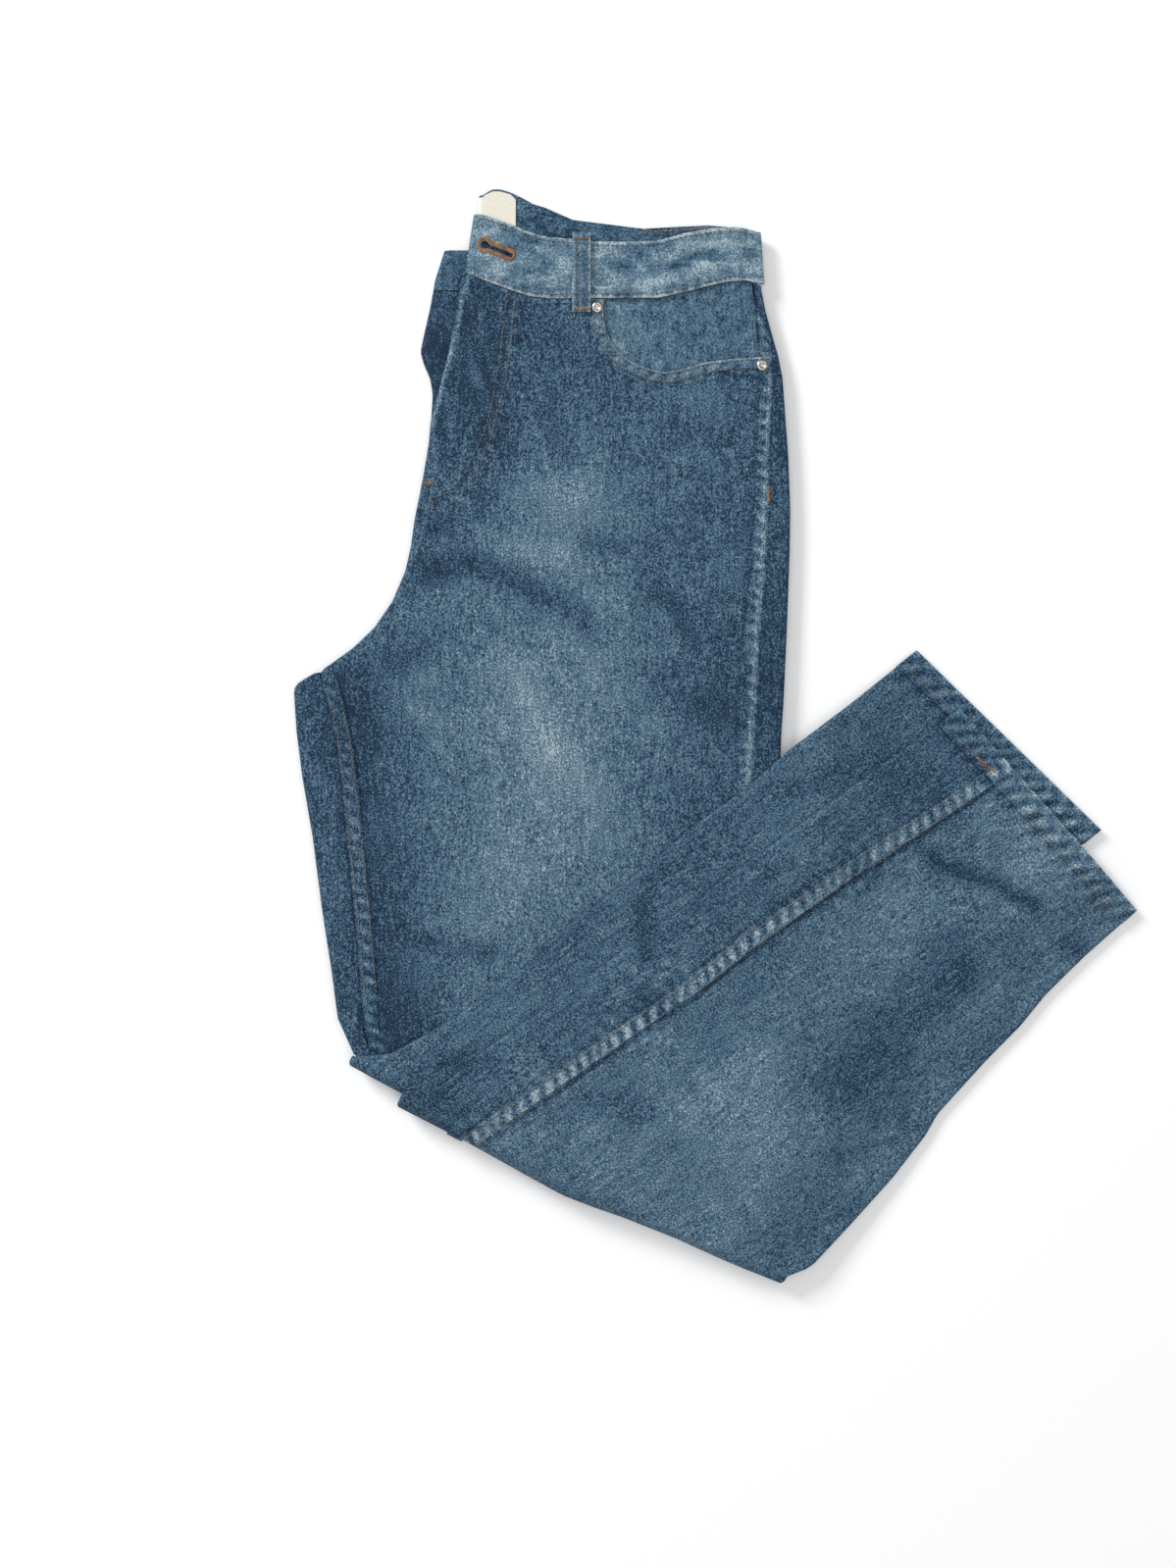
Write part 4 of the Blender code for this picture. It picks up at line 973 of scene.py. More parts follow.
def make_pocket(front):
    """Cuts the opening, then adds the facing behind it and its turned edge."""
    # The cutter goes on past the waist seam and the side seam
    corners = [tuple(p) for p in smooth_route(POCKET, 3.0)] + [(70, 252), (70, 330), (-75.2, 330)]
    cut_away(front, *prism(corners, TOP_Z - 2.3, TOP_Z + 6))
    outer, inner = [], []
    top, wall = TOP_Z - WALL - GAP, 1.0
    shares = np.arange(21) / 20
    for x in np.arange(-82, 24.1, 3.0):
        high = min(read(FRONT_SEAM, "x", x, "y") - GAP, 303)
        low = read(FACING_LOW, "x", x, "y")
        y = low + (high - low) * shares
        column = x + 5.5 * smooth(x / 20) * (1 - shares)
        sink = 0.6 * creased(column, y, UPPER_CREASES)
        sink += 0.2 * np.sin(column / 8) * np.sin(y / 7 + column / 20)
        sink = np.clip(sink, 0.0, 0.55)
        outer.append(row_at(column, y, top - sink))
        inner.append(row_at(column, y, top - wall))
    facing = add_wall("cloth_pocket_facing", outer, inner)

    outer, inner = [], []
    step = 2.4
    route = smooth_route(POCKET[1:], step)
    outward = side_steps(route)[1]
    lengths = np.cumsum(np.full(len(route), step))
    for i, point in enumerate(route):
        across = np.linspace(0.4, POCKET_EDGE, 7)
        xy = point + outward[i] * across[:, None]
        swell_up = 0.18 * np.sin(2 * pi * lengths[i] / 7.5 + across * 0.5)
        rim = np.array([0.45, 0.1, 0, 0, 0, 0.1, 0.5])
        outer.append(np.column_stack([xy, TOP_Z + GAP + POCKET_EDGE_RISE + swell_up - rim]))
        inner.append(np.column_stack([xy, np.full(7, TOP_Z + GAP)]))
    edge = add_wall("cloth_pocket_edge", outer, inner)
    return facing, edge


def make_belt_loop():
    """A strap over the waistband, from below its seam to its top edge."""
    wall = 1.8
    top = BAND_TOP_Z + GAP
    profile = [(281.0, TOP_Z + GAP), (286.2, TOP_Z + GAP + 0.1), (289.6, top + 0.1), (302, top + 0.7),
               (312, top + 0.9), (322, top + 0.6), (328, top), (330.5, top - 0.1), (332.4, top - 1.6),
               (333.0, top - 3.2)]
    route = smooth_route(profile, 1.8)
    along, _ = side_steps(route)
    outer, inner = [], []
    shares = np.linspace(-1, 1, 11)
    for (y, z), (dy, dz) in zip(route, along):
        x = BELT_LOOP_X + shares * BELT_LOOP_WIDTH / 2
        crown = wall - 0.35 * np.abs(shares) ** 6 + 0.15 * np.cos(shares * pi * 2)
        outer.append(row_at(x, y - dz * crown, z + dy * crown))
        inner.append(row_at(x, y, z))
    return add_wall("cloth_belt_loop", outer, inner)


def make_label():
    """The woven label on the back waistband, turned down at its left end."""
    base, wall, fold_x, radius = LEFT_Z + BACK_BAND_WALL + GAP, 0.5, -155.6, 2.3 + GAP
    outer, inner = [], []
    shares = np.linspace(0, 1, 9)

    def reach(x):
        low = read(FRONT_TOP, "x", x, "y") - 8
        return low, read(BACK_TOP, "x", x, "y") - 1.6 - 2.0 * smooth((x + 137) / 4)

    for x in np.linspace(-133.5, fold_x, 14):
        low, high = reach(x)
        y = low + (high - low) * shares
        outer.append(row_at(x, y, base + wall))
        inner.append(row_at(x, y, base))
    low, high = reach(fold_x)
    y = low + (high - low) * shares
    for turn in range(15, 91, 15):
        a = radians(turn)
        outer.append(row_at(fold_x - (radius + wall) * np.sin(a), y,
                            base - radius + (radius + wall) * np.cos(a)))
        inner.append(row_at(fold_x - radius * np.sin(a), y, base - radius + radius * np.cos(a)))
    return add_wall("cloth_woven_label", outer, inner)


def make_rivet(name, x, y, base):
    """A domed rivet cap, turned from a smooth profile."""
    profile = np.array([(0.0, 0.95), (0.8, 0.9), (1.2, 0.84), (1.5, 1.0), (1.8, 1.25), (2.2, 1.38),
                        (2.7, 1.4), (3.2, 1.22), (3.55, 0.9), (3.73, 0.5), (3.7, 0.0), (0.0, 0.0)])
    sides = 40
    points = []
    for r, z in profile[1:-1]:
        angles = 2 * pi * np.arange(sides) / sides
        points += [(x + r * np.cos(a), y + r * np.sin(a), base + z) for a in angles]
    rings = len(profile) - 2
    top_point, low_point = len(points), len(points) + 1
    points += [(x, y, base + profile[0][1]), (x, y, base)]
    faces = []
    for j in range(sides):
        k = (j + 1) % sides
        faces.append([top_point, j, k])
        faces.append([low_point, (rings - 1) * sides + k, (rings - 1) * sides + j])
        for i in range(rings - 1):
            faces.append([i * sides + j, i * sides + k, (i + 1) * sides + k, (i + 1) * sides + j])
    return add_piece(name, points, faces)


# Washing and painted shade: how pale the cloth is, from 0, deep blue, to 1, nearly white
def spot(x, y, centre, across, along, lean=0.0):
    """A soft oval spot, with its length leaning by an angle from the Y axis."""
    turn = radians(lean)
    dx, dy = x - centre[0], y - centre[1]
    u = dx * np.cos(turn) + dy * np.sin(turn)
    v = -dx * np.sin(turn) + dy * np.cos(turn)
    return np.exp(-(u / across) ** 2 - (v / along) ** 2)


def seam_wear(distance, along, width=4.5):
    """Pale broken ridges on a seam with a dark line close beside it."""
    wave = np.sin(2 * pi * along / 9.5 + 1.6 * np.sin(along / 15) + 0.25 * distance)
    ridge = np.exp(-((distance / width) ** 4)) * (0.12 + 0.30 * wave)
    rim = 0.22 * bell(np.abs(distance) - width * 1.08, 0.8)
    return ridge + rim - 0.26 * bell(np.abs(distance) - width * 1.45, 1.6)


def hem_wear(distance, along):
    """A hem's slanted pale and dark waves, its worn rim and the dark line beside its stitches."""
    wave = np.sin(2 * pi * (along + 0.6 * distance) / 11 + 1.5 * np.sin(along / 19))
    value = 0.27 * wave * bell(distance - 8, 10)
    return value + 0.25 * bell(distance, 1.5) - 0.2 * bell(distance - 17.5, 1.5)


def wash_and_shade_upper(x, y):
    """The upper part: a faded thigh, dark sides and worn seams, with painted shade where the cloth sinks and
    painted highlight where it rises.
    """
    value = np.full(np.shape(x), 0.24)
    value += 0.31 * spot(x, y, (-118, -50), 72, 180, 4)
    value += 0.10 * spot(x, y, (-110, 130), 80, 90)
    value -= 0.2 * bell(x - read(OUTER_EDGE, "y", y, "x") - 40, 26) * smooth((90 - y) / 40)
    value -= 0.28 * spot(x, y, (-160, 235), 30, 80)
    fly_edge = x - read(FLY_EDGE, "y", y, "x")
    lighter = 0.55 * bell(fly_edge - 1.2, 1.6) - 0.12 * bell(fly_edge - 6, 3)
    value += smooth((y - 200) / 10) * lighter
    streaks = np.sin(x / 3.1 + 2 * np.sin(y / 19)) * np.sin(y / 13 + 1.5 * np.sin(x / 6))
    value += 0.17 * streaks * spot(x, y, (-160, 235), 32, 90)
    value -= 0.06 * spot(x, y, (25, 60), 40, 160)
    value -= 0.07 * spot(x, y, (-60, -120), 40, 90, 30)
    value -= 0.14 * spot(x, y, (-215, -185), 22, 30)
    value += seam_wear(x - read(INSEAM, "y", y, "x") - 5, y) * smooth((50 - y) / 15)
    side = x - read(SIDE_SEAM, "y", y, "x")
    value += seam_wear(side + 3, y, 3.0) + 0.4 * bell(side, 1.0) - 0.1 * smooth((side - 2) / 3)
    distance, share = along_line(x, y, FLY_STITCH)
    value += seam_wear(distance, share * 160, 2.5) * 0.7
    distance, share = along_line(x, y, POCKET)
    value += seam_wear(distance - 5, share * 140, 4) * 0.9
    value += seam_wear(y - read(FRONT_SEAM, "x", x, "y"), x, 3.5)
    # Painted shade: darker where the cloth sinks in creases, waves and pulled seams, lighter where it rises
    return value - 0.26 * relief_upper(x, y)


def wash_and_shade_lower(x, y, on_right):
    """The folded legs: a faded shin, darker beyond the inseam, and worn hems, with painted shade where the
    shin slopes to the floor and where the cloth sinks, and painted highlight where it rises.
    """
    s, q = leg_sq(x, y)
    value = np.full(np.shape(x), 0.35)
    value += 0.13 * spot(x, y, (-7, -276), 75, 60)
    # Partly a darker wash and partly painted shade where the shin slopes down to the floor
    value -= 0.10 * spot(x, y, (150, -190), 50, 70, -55)
    value += 0.07 * spot(x, y, (95, -160), 50, 90, -55)
    value += 0.06 * spot(x, y, (215, -90), 40, 50)
    if on_right:
        value -= 0.10 * smooth((read(RIGHT_INSEAM, "s", s, "q") - q) / 6)
        value += seam_wear(q - read(RIGHT_INSEAM, "s", s, "q") - 5, s) * 1.3
        value += hem_wear(right_hem_line(q) - s, q)
        # Painted shade: darker where the cloth sinks, lighter where it rises
        return value - 0.26 * relief_right(x, y)
    value -= 0.05
    value += hem_wear(left_hem_line(q) - s, q)
    # Painted shade: darker where the cloth sinks, lighter where it rises
    return value - 0.26 * relief_left(x, y)


def wash_and_shade_band(x, y):
    """The waistband: mottled, with pale rims beside dark stitched lines, and painted shade in its creases and
    ripples, lighter where they rise.
    """
    low, high = read(FRONT_SEAM, "x", x, "y"), read(FRONT_TOP, "x", x, "y")
    # Painted shade: darker in the band's creases and ripples, lighter where they rise
    value = 0.68 - 0.5 * (creased(x, y, BAND_CREASES) + band_ripple(x, y)) 
    value -= 0.15 * spot(x, y, (-135, 318), 22, 16)
    value += 0.13 * np.sin(x / 6 + 2 * np.sin(y / 5)) * np.sin(y / 5 + 1.3 * np.sin(x / 9))
    value += 0.3 * bell(high - y, 1.6) - 0.2 * bell(high - y - 4.5, 2.0)
    value += 0.3 * bell(y - low, 1.6)
    return value - 0.2 * bell(y - low - 4.5, 2.0)


def wash_pocket(x, y):
    """The opening's edge: a pale rim, with light and dark by turns across the double stitching."""
    distance, share = along_line(x, y, POCKET)
    wave = np.sin(2 * pi * share * 140 / 7.5 + 0.5 * distance)
    return 0.42 + 0.35 * bell(distance, 1.3) + 0.2 * wave * smooth((distance - 1.5) / 1.5)


def wash_loop(x, y):
    """The belt loop: pale rims, and a dark middle line between its stitches."""
    across = np.abs(x - BELT_LOOP_X)
    return 0.5 + 0.3 * smooth((across - 4.2) / 1.2) - 0.1 * bell(across - 2.6, 1.0)


def wash_side(level):
    """One level all over, with slow change, for pieces that hardly show."""
    return lambda x, y: level + 0.06 * np.sin(x / 17 + 2 * np.sin(y / 23)) * np.sin(y / 19)


def set_wash_and_shade(piece, wash_and_shade):
    """Writes each point's paleness, from washing and painted shade, for the denim to read."""
    mesh = piece.data
    places = np.empty(len(mesh.vertices) * 3)
    mesh.vertices.foreach_get("co", places)
    places = places.reshape(-1, 3) / METRE
    values = np.clip(wash_and_shade(places[:, 0], places[:, 1]), 0.0, 1.0)
    layer = mesh.attributes.new("wash_and_shade", "FLOAT", "POINT")
    layer.data.foreach_set("value", values.astype(np.float32))


# Materials
def linear(red, green, blue):
    """A screen colour from 0 to 255 as scene values."""
    values = [c / 255 for c in (red, green, blue)]
    return tuple(c / 12.92 if c <= 0.04045 else ((c + 0.055) / 1.055) ** 2.4 for c in values) + (1.0,)


class Nodes:
    """Short names for the nodes that the materials use."""

    def __init__(self, name):
        self.material = bpy.data.materials.new(name)
        self.material.use_nodes = True
        self.tree = self.material.node_tree
        self.shader = self.tree.nodes["Principled BSDF"]

    def add(self, kind, **settings):
        node = self.tree.nodes.new(kind)
        for key, value in settings.items():
            setattr(node, key, value)
        return node

    def link(self, source, target):
        self.tree.links.new(source, target)

    def level(self, name, value):
        self.shader.inputs[name].default_value = value

    def drive(self, name, source):
        self.link(source, self.shader.inputs[name])

    def number(self, operation, *values):
        node = self.add("ShaderNodeMath", operation=operation)
        for slot, value in zip(node.inputs, values):
            if isinstance(value, (int, float)):
                slot.default_value = value
            else:
                self.link(value, slot)
        return node.outputs[0]

    def place(self, angle, stretch):
        """Object coordinates turned with the cloth's grain and stretched."""
        source = self.add("ShaderNodeTexCoord")
        turn = self.add("ShaderNodeMapping", vector_type="TEXTURE")
        turn.inputs["Rotation"].default_value = (0, 0, angle)
        scale = self.add("ShaderNodeMapping")
        scale.inputs["Scale"].default_value = stretch
        self.link(source.outputs["Object"], turn.inputs["Vector"])
        self.link(turn.outputs[0], scale.inputs["Vector"])
        return scale.outputs[0]

    def noise(self, vector, scale, detail=2.0, roughness=0.5):
        node = self.add("ShaderNodeTexNoise")
        node.inputs["Scale"].default_value = scale
        node.inputs["Detail"].default_value = detail
        node.inputs["Roughness"].default_value = roughness
        self.link(vector, node.inputs["Vector"])
        return node.outputs[0]

    def ramp(self, value, stops):
        node = self.add("ShaderNodeValToRGB")
        elements = node.color_ramp.elements
        while len(elements) < len(stops):
            elements.new(0.5)
        for element, (position, colour) in zip(elements, stops):
            element.position = position
            element.color = colour
        self.link(value, node.inputs[0])
        return node.outputs[0]

    def bump(self, height, distance, strength=1.0, normal=None):
        node = self.add("ShaderNodeBump")
        node.inputs["Distance"].default_value = distance
        node.inputs["Strength"].default_value = strength
        self.link(height, node.inputs["Height"])
        if normal is not None:
            self.link(normal, node.inputs["Normal"])
        return node.outputs[0]


# The cloth's colour by its paleness
DENIM_STOPS = [(0.0, linear(28, 46, 66)), (0.2, linear(53, 81, 105)), (0.4, linear(76, 104, 125)),
               (0.6, linear(95, 121, 138)), (0.8, linear(119, 142, 156)), (1.0, linear(168, 183, 190))]


def make_denim(name, angle, mottle, grain, patchy=0.16, level=None):
    """Stonewashed twill; level is its paleness where the mesh doesn't say it."""
    nodes = Nodes(name)
    if level is None:
        wash_and_shade = nodes.add("ShaderNodeAttribute", attribute_name="wash_and_shade").outputs["Fac"]
    else:
        source = nodes.add("ShaderNodeValue")
        source.outputs[0].default_value = level
        wash_and_shade = source.outputs[0]
    # Single threads, slubs along the grain, blotches and wide clouds, in cycles to a metre
    fine = nodes.noise(nodes.place(angle, (1.0, 0.75, 1.0)), 1050.0, 1.0)
    streak = nodes.noise(nodes.place(angle, (1.0, 0.15, 1.0)), 520.0, 2.0)
    cloud = nodes.noise(nodes.place(angle, (1.0, 0.8, 1.0)), 190.0, 3.0, 0.6)
    wide = nodes.noise(nodes.place(angle, (1.0, 0.8, 1.0)), 55.0, 3.0)
    total = wash_and_shade
    for value, amount in ((fine, grain), (streak, 0.3 * grain), (cloud, mottle), (wide, patchy)):
        part = nodes.number("MULTIPLY", nodes.number("SUBTRACT", value, 0.5), amount)
        total = nodes.number("ADD", total, part)
    nodes.drive("Base Color", nodes.ramp(total, DENIM_STOPS))
    twill = nodes.add("ShaderNodeTexWave", wave_type="BANDS", bands_direction="DIAGONAL")
    twill.inputs["Scale"].default_value = 520.0
    twill.inputs["Distortion"].default_value = 1.2
    nodes.link(nodes.place(angle, (1.0, 1.0, 1.0)), twill.inputs["Vector"])
    normal = nodes.bump(twill.outputs["Fac"], 0.00006, 0.5)
    normal = nodes.bump(fine, 0.00025, 0.6, normal)
    nodes.drive("Normal", normal)
    nodes.level("Roughness", 0.92)
    nodes.level("Specular IOR Level", 0.18)
    return nodes.material


def make_thread(name, colour, dark):
    """Thread with a slow change of shade."""
    nodes = Nodes(name)
    shade = nodes.noise(nodes.place(0.0, (1.0, 1.0, 1.0)), 160.0, 2.0)
    stops = [(0.35, linear(*dark)), (0.65, linear(*colour))]
    nodes.drive("Base Color", nodes.ramp(shade, stops))
    nodes.level("Roughness", 0.75)
    nodes.level("Specular IOR Level", 0.3)
    return nodes.material


def make_label_cloth():
    """Off-white satin tape."""
    nodes = Nodes("woven_label_cloth")
    weave = nodes.noise(nodes.place(0.0, (0.3, 1.0, 1.0)), 2600.0, 1.0)
    stops = [(0.3, linear(216, 211, 196)), (0.7, linear(234, 230, 217))]
    nodes.drive("Base Color", nodes.ramp(weave, stops))
    nodes.drive("Normal", nodes.bump(weave, 0.00004, 0.4))
    nodes.level("Roughness", 0.6)
    return nodes.material


def make_nickel():
    """Satin nickel, a little tarnished."""
    nodes = Nodes("nickel_cap")
    tarnish = nodes.noise(nodes.place(0.0, (1.0, 1.0, 1.0)), 500.0, 3.0)
    stops = [(0.3, linear(150, 146, 138)), (0.7, linear(206, 203, 196))]
    nodes.drive("Base Color", nodes.ramp(tarnish, stops))
    nodes.level("Metallic", 1.0)
    nodes.level("Roughness", 0.32)
    return nodes.material


# Stitches
class Surface:
    """Heights of the pieces' tops, found from above."""

    def __init__(self, pieces):
        depsgraph = bpy.context.evaluated_depsgraph_get()
        self.trees = [BVHTree.FromObject(piece, depsgraph) for piece in pieces]

    def height(self, x, y):
        """The highest top at a place, or None beside them all."""
        best = None
        for tree in self.trees:
            hit = tree.ray_cast(Vector((x * METRE, y * METRE, 0.1)), Vector((0, 0, -1)))
            if hit[0] is not None and (best is None or hit[0].z > best):
                best = hit[0].z
        return None if best is None else best / METRE


CAPSULE_ALONG = np.array([-1.0, -0.8, -0.35, 0.35, 0.8, 1.0])
CAPSULE_WIDTH = np.array([0.3, 0.85, 1.0, 1.0, 0.85, 0.3])
SIDES = 6


class Thread:
    """Short joined capsules lying on the cloth, gathered into one piece."""

    def __init__(self, name):
        self.name, self.points, self.faces = name, [], []

    def stitch(self, start, end, thickness):
        """One stitch, a capsule that rises a little in its middle."""
        start, end = np.array(start, float), np.array(end, float)
        middle, half = (start + end) / 2, (end - start) / 2
        size = np.linalg.norm(half)
        if size < 0.05:
            return
        along = half / size
        side = np.array([-along[1], along[0], 0.0]) / max(1e-6, np.hypot(along[0], along[1]))
        up = np.cross(along, side)
        first = len(self.points)
        for t, r in zip(CAPSULE_ALONG, CAPSULE_WIDTH):
            centre = middle + half * t + np.array([0, 0, 0.3 * thickness * (1 - t * t)])
            for k in range(SIDES):
                a = 2 * pi * k / SIDES
                self.points.append(centre + (side * np.cos(a) + up * np.sin(a)) * r * thickness / 2)
        rings = len(CAPSULE_ALONG)
        for i in range(rings - 1):
            for k in range(SIDES):
                m = (k + 1) % SIDES
                self.faces.append([first + i * SIDES + k, first + i * SIDES + m, first + (i + 1) * SIDES + m,
                                   first + (i + 1) * SIDES + k])
        self.faces.append([first + k for k in range(SIDES)])
        self.faces.append([first + (rings - 1) * SIDES + k for k in range(SIDES)])

    def line(self, surface, points, pitch=3.3, share=0.8, thickness=0.8):
        """A line of stitches on a smooth curve."""
        route = smooth_route(points, pitch)
        for a, b in zip(route, route[1:]):
            reach = (b - a) * share / 2
            ends = [(a + b) / 2 - reach, (a + b) / 2 + reach]
            heights = [surface.height(*end) for end in ends]
            if None in heights:
                continue
            self.stitch((*ends[0], heights[0] + 0.05), (*ends[1], heights[1] + 0.05), thickness)

    def bar(self, surface, start, end, width, pitch=0.75, thickness=0.6):
        """A bar tack: close stitches across a line, leaning to and fro."""
        start, end = np.array(start, float), np.array(end, float)
        length = np.hypot(*(end - start))
        along = (end - start) / length
        side = np.array([along[1], -along[0]]) * width / 2
        for i in range(int(length / pitch) + 1):
            place = start + along * pitch * i
            lean = along * pitch * (0.4 if i % 2 else -0.4)
            a, b = place - side - lean, place + side + lean
            heights = [surface.height(*end) for end in (a, b)]
            if None in heights:
                continue
            self.stitch((*a, heights[0] + 0.15), (*b, heights[1] + 0.15), thickness)

    def make(self, slot):
        return add_piece(self.name, self.points, self.faces)


def make_stitches(tops, lowers):
    """All the thread: pale lines, and orange at the buttonhole, tacks and back waistband."""
    pale, orange = Thread("stitches_pale"), Thread("stitches_orange")
    # The waistband's two edges
    xs = np.linspace(-157, 23, 24)
    pale.line(tops, [(x, read(FRONT_TOP, "x", x, "y") - 2.6) for x in xs])
    pale.line(tops, [(x - 6 * smooth((-140 - x) / 20), read(FRONT_SEAM, "x", x, "y") + 2.6) for x in xs])
    # The fly and the pocket opening
    for points in (FLY_STITCH, FLY_STITCH_INNER):
        pale.line(tops, points)
    opening = smooth_route(POCKET[1:], 5.0)
    outward = side_steps(opening)[1]
    for offset in (1.9, 6.9):
        pale.line(tops, [tuple(p) for p in opening + outward * offset])
    # The inseams and hems
    seam_ys = np.arange(30, -186, -12.0)
    for offset in (1.6, 9.0):
        pale.line(tops, [(read(INSEAM, "y", y, "x") + offset, y) for y in seam_ys])
    seam_s = np.arange(-290, 120, 15.0)
    for offset in (-0.9 + INSEAM_WIDTH, 1.4):
        pale.line(lowers, [leg_xy(s, read(RIGHT_INSEAM, "s", s, "q") + offset - 0.5) for s in seam_s])
    for hem_line, q_start, q_end in ((left_hem_line, 36, 76), (right_hem_line, 84, 250)):
        pale.line(lowers, [leg_xy(hem_line(q) - 13.5, q) for q in np.linspace(q_start, q_end, 9)])
    # The belt loop
    for offset in (-3.4, 3.4):
        pale.line(tops, [(BELT_LOOP_X + offset, y) for y in (285, 300, 315, 327)], thickness=0.7)
    # Bar tacks at the belt loop's ends, the side seam, the fly and the right hem
    tacks = [(tops, (-94.5, 283.2), (-85.3, 283.2), 2.2), (tops, (-94.5, 329.3), (-85.3, 329.3), 2.0),
             (tops, (34, 165), (34.5, 156), 2.2), (tops, (-189, 168.5), (-197, 166.5), 2.2),
             (lowers, (172, -14), (184, -24), 1.6)]
    for surface, start, end, width in tacks:
        orange.bar(surface, start, end, width)
    # The back waistband's upper edge
    orange.line(tops, [(-52, 334.6), (-27, 336.2), (-6, 337.4), (8, 336.4)], thickness=0.7)
    # The buttonhole, in close stitches outward from its rim
    ring = np.array(keyhole(0.2) + keyhole(0.2)[:1])
    rim = np.array(keyhole(2.9) + keyhole(2.9)[:1])
    for (a, b), (c, d) in zip(zip(ring, ring[1:]), zip(rim, rim[1:])):
        count = max(1, int(np.hypot(*(d - c)) / 0.8))
        for i in range(count):
            near, far = a + (b - a) * i / count, c + (d - c) * i / count
            height = tops.height(*far)
            if height is not None:
                orange.stitch((*near, height + 0.1), (*far, height + 0.1), 0.75)
    return pale.make("denim_worn"), orange.make("denim_worn")


def make_stage():
    """The white surface that the jeans lie on."""
    mesh = bpy.data.meshes.new("ground")
    reach, drop = 3.0, -0.0003
    corners = [(-reach, -reach, drop), (reach, -reach, drop), (reach, reach, drop), (-reach, reach, drop)]
    mesh.from_pydata(corners, [], [[0, 1, 2, 3]])
    ground = add_object("ground", mesh)
    nodes = Nodes("ground_white")
    nodes.level("Base Color", (0.96, 0.96, 0.96, 1))
    nodes.level("Emission Color", (1, 1, 1, 1))
    nodes.level("Emission Strength", 0.07)
    nodes.level("Roughness", 0.9)
    nodes.level("Specular IOR Level", 0.1)
    mesh.materials.append(nodes.material)


def make_light(name, place, size, power):
    """A soft square light that faces the jeans: place and size in metres, power in watts."""
    light = bpy.data.lights.new(name, "AREA")
    light.size, light.energy = size, power
    made = add_object(name, light)
    made.location = place
    aim = Vector((-0.05, 0.0, 0.0)) - Vector(place)
    made.rotation_euler = aim.to_track_quat("-Z", "Y").to_euler()


def make_view():
    """The camera straight above, the room's light and two lamps."""
    scene = bpy.context.scene
    lens_data = bpy.data.cameras.new("camera")
    lens_data.sensor_fit, lens_data.sensor_height = "VERTICAL", SENSOR_HEIGHT
    lens_data.lens = SENSOR_HEIGHT * (CAMERA_HEIGHT - MEASURED_HEIGHT) / VIEW_HEIGHT
    camera = add_object("camera", lens_data)
    camera.location = (VIEW_CENTRE[0] * METRE, VIEW_CENTRE[1] * METRE, CAMERA_HEIGHT * METRE)
    scene.camera = camera
    scene.view_settings.view_transform = "Standard"
    world = bpy.data.worlds.new("studio")
    world.use_nodes = True
    world.node_tree.nodes["Background"].inputs["Color"].default_value = (1, 1, 1, 1)
    world.node_tree.nodes["Background"].inputs["Strength"].default_value = 0.4
    scene.world = world
    make_light("key", (-2.7, 2.5, 2.0), 1.2, 132)
    make_light("top", (0.1, -0.2, 3.0), 2.6, 32)


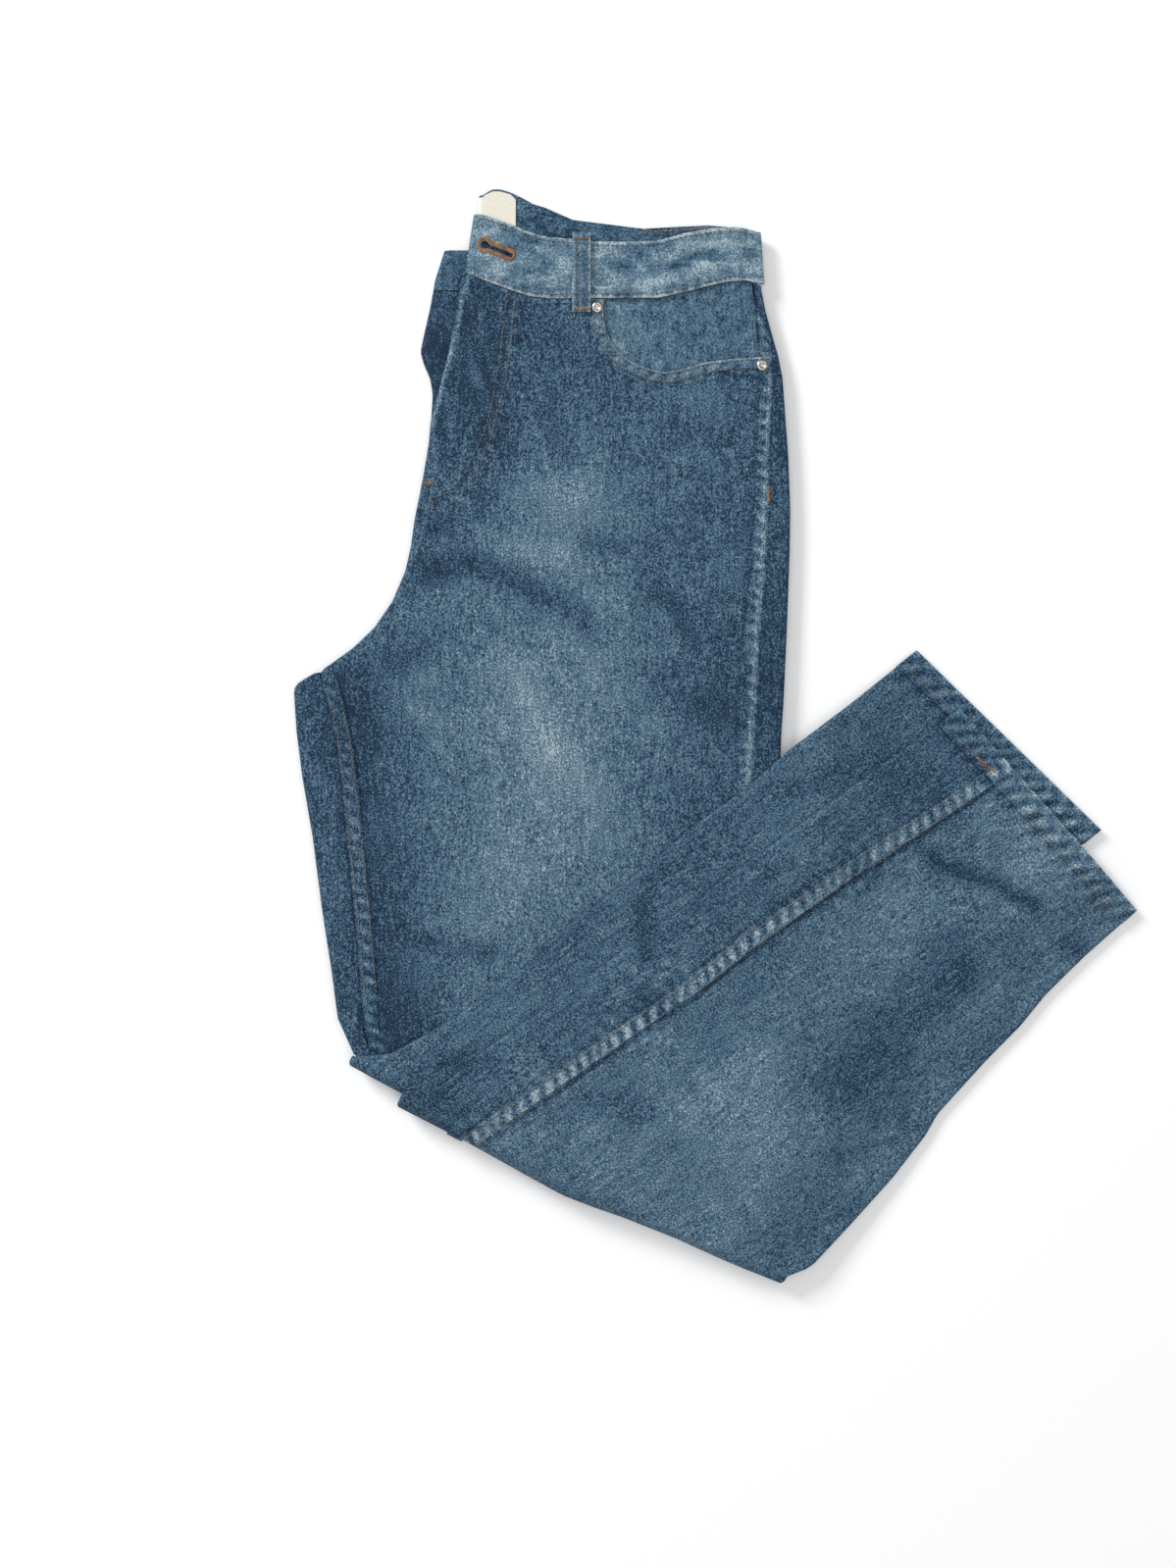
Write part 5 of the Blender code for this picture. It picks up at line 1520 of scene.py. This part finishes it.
def main():
    """Builds every piece, dresses it and hides the solid that it stands for."""
    front, left_back, left_seam = make_left_panels()
    left_low_back, left_low_front, left_hem = make_left_lower()
    right_front, right_back, right_seam, right_hem = make_right_lower()
    strip = make_right_strip()
    band, band_back, band_end = make_waistband()
    cut_away(band, *prism(keyhole(0.0), BAND_TOP_Z - 5, BAND_TOP_Z + 5))
    facing, pocket_edge = make_pocket(front)
    loop, label = make_belt_loop(), make_label()
    base = TOP_Z + 2 * GAP + POCKET_EDGE_RISE
    rivets = [make_rivet("rivet_inner_cap", *INNER_RIVET, base),
              make_rivet("rivet_outer_cap", *OUTER_RIVET, base)]
    tops = Surface([front, left_back, left_seam, band, band_back, facing, pocket_edge, loop])
    lowers = Surface([left_low_back, right_front, right_back, right_seam, left_hem, right_hem])
    pale, orange = make_stitches(tops, lowers)

    upper = make_denim("denim_upper", 0.0, 0.4, 2.0)
    folded = make_denim("denim_folded", LEG_ANGLE + pi / 2, 0.4, 2.0)
    worn = make_denim("denim_mottled", 0.0, 0.9, 1.6, 0.5)
    across = make_denim("denim_across", pi / 2, 0.8, 1.6, 0.7)

    def wash_and_shade_left(x, y):
        return wash_and_shade_lower(x, y, False)

    def wash_and_shade_right(x, y):
        return wash_and_shade_lower(x, y, True)

    looks = [(upper, wash_and_shade_upper, [front, left_back, left_seam]),
             (folded, wash_and_shade_left, [left_low_back, left_low_front, left_hem]),
             (folded, wash_and_shade_right, [right_front, right_back, right_seam, right_hem]),
             # The right strip's near-darkest level is painted shadow from the fly lying over it
             (worn, wash_side(0.02), [strip]), (across, wash_and_shade_band, [band]),
             (across, wash_side(0.24), [band_back]), (worn, wash_side(0.16), [band_end]),
             (worn, wash_side(0.36), [facing]), (worn, wash_pocket, [pocket_edge]), (worn, wash_loop, [loop])]
    for look, wash_and_shade, pieces in looks:
        for piece in pieces:
            set_wash_and_shade(piece, wash_and_shade)
            piece.data.materials.clear()
            piece.data.materials.append(look)
    pale.data.materials.append(make_thread("thread_pale", (124, 117, 108), (78, 80, 84)))
    orange.data.materials.append(make_thread("thread_orange", (178, 130, 78), (122, 84, 48)))
    label.data.materials.append(make_label_cloth())
    nickel = make_nickel()
    inside = make_denim("denim_inside", 0.0, 0.6, 1.6, level=0.3)
    for slot in bpy.data.objects["hidden_layers"].material_slots:
        slot.material = inside
    for rivet, node in zip(rivets, ("rivet_inner", "rivet_outer")):
        rivet.data.materials.append(nickel)
        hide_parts(node)

    sheet("left_front")
    sheet("left_back")
    sheet("left_back_lower")
    sheet("left_front_lower")
    sheet("right_front_lower")
    sheet("right_back_lower")
    sheet("right_front_top")
    sheet("left_hem")
    sheet("right_hem")
    sheet("left_inseam")
    sheet("right_inseam")
    sheet("waistband_front")
    sheet("waistband_back")
    sheet("waistband_right_end")
    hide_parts("pocket_edge")
    sheet("pocket_facing")
    sheet("belt_loop")
    sheet("woven_label")
    make_stage()
    make_view()


main()
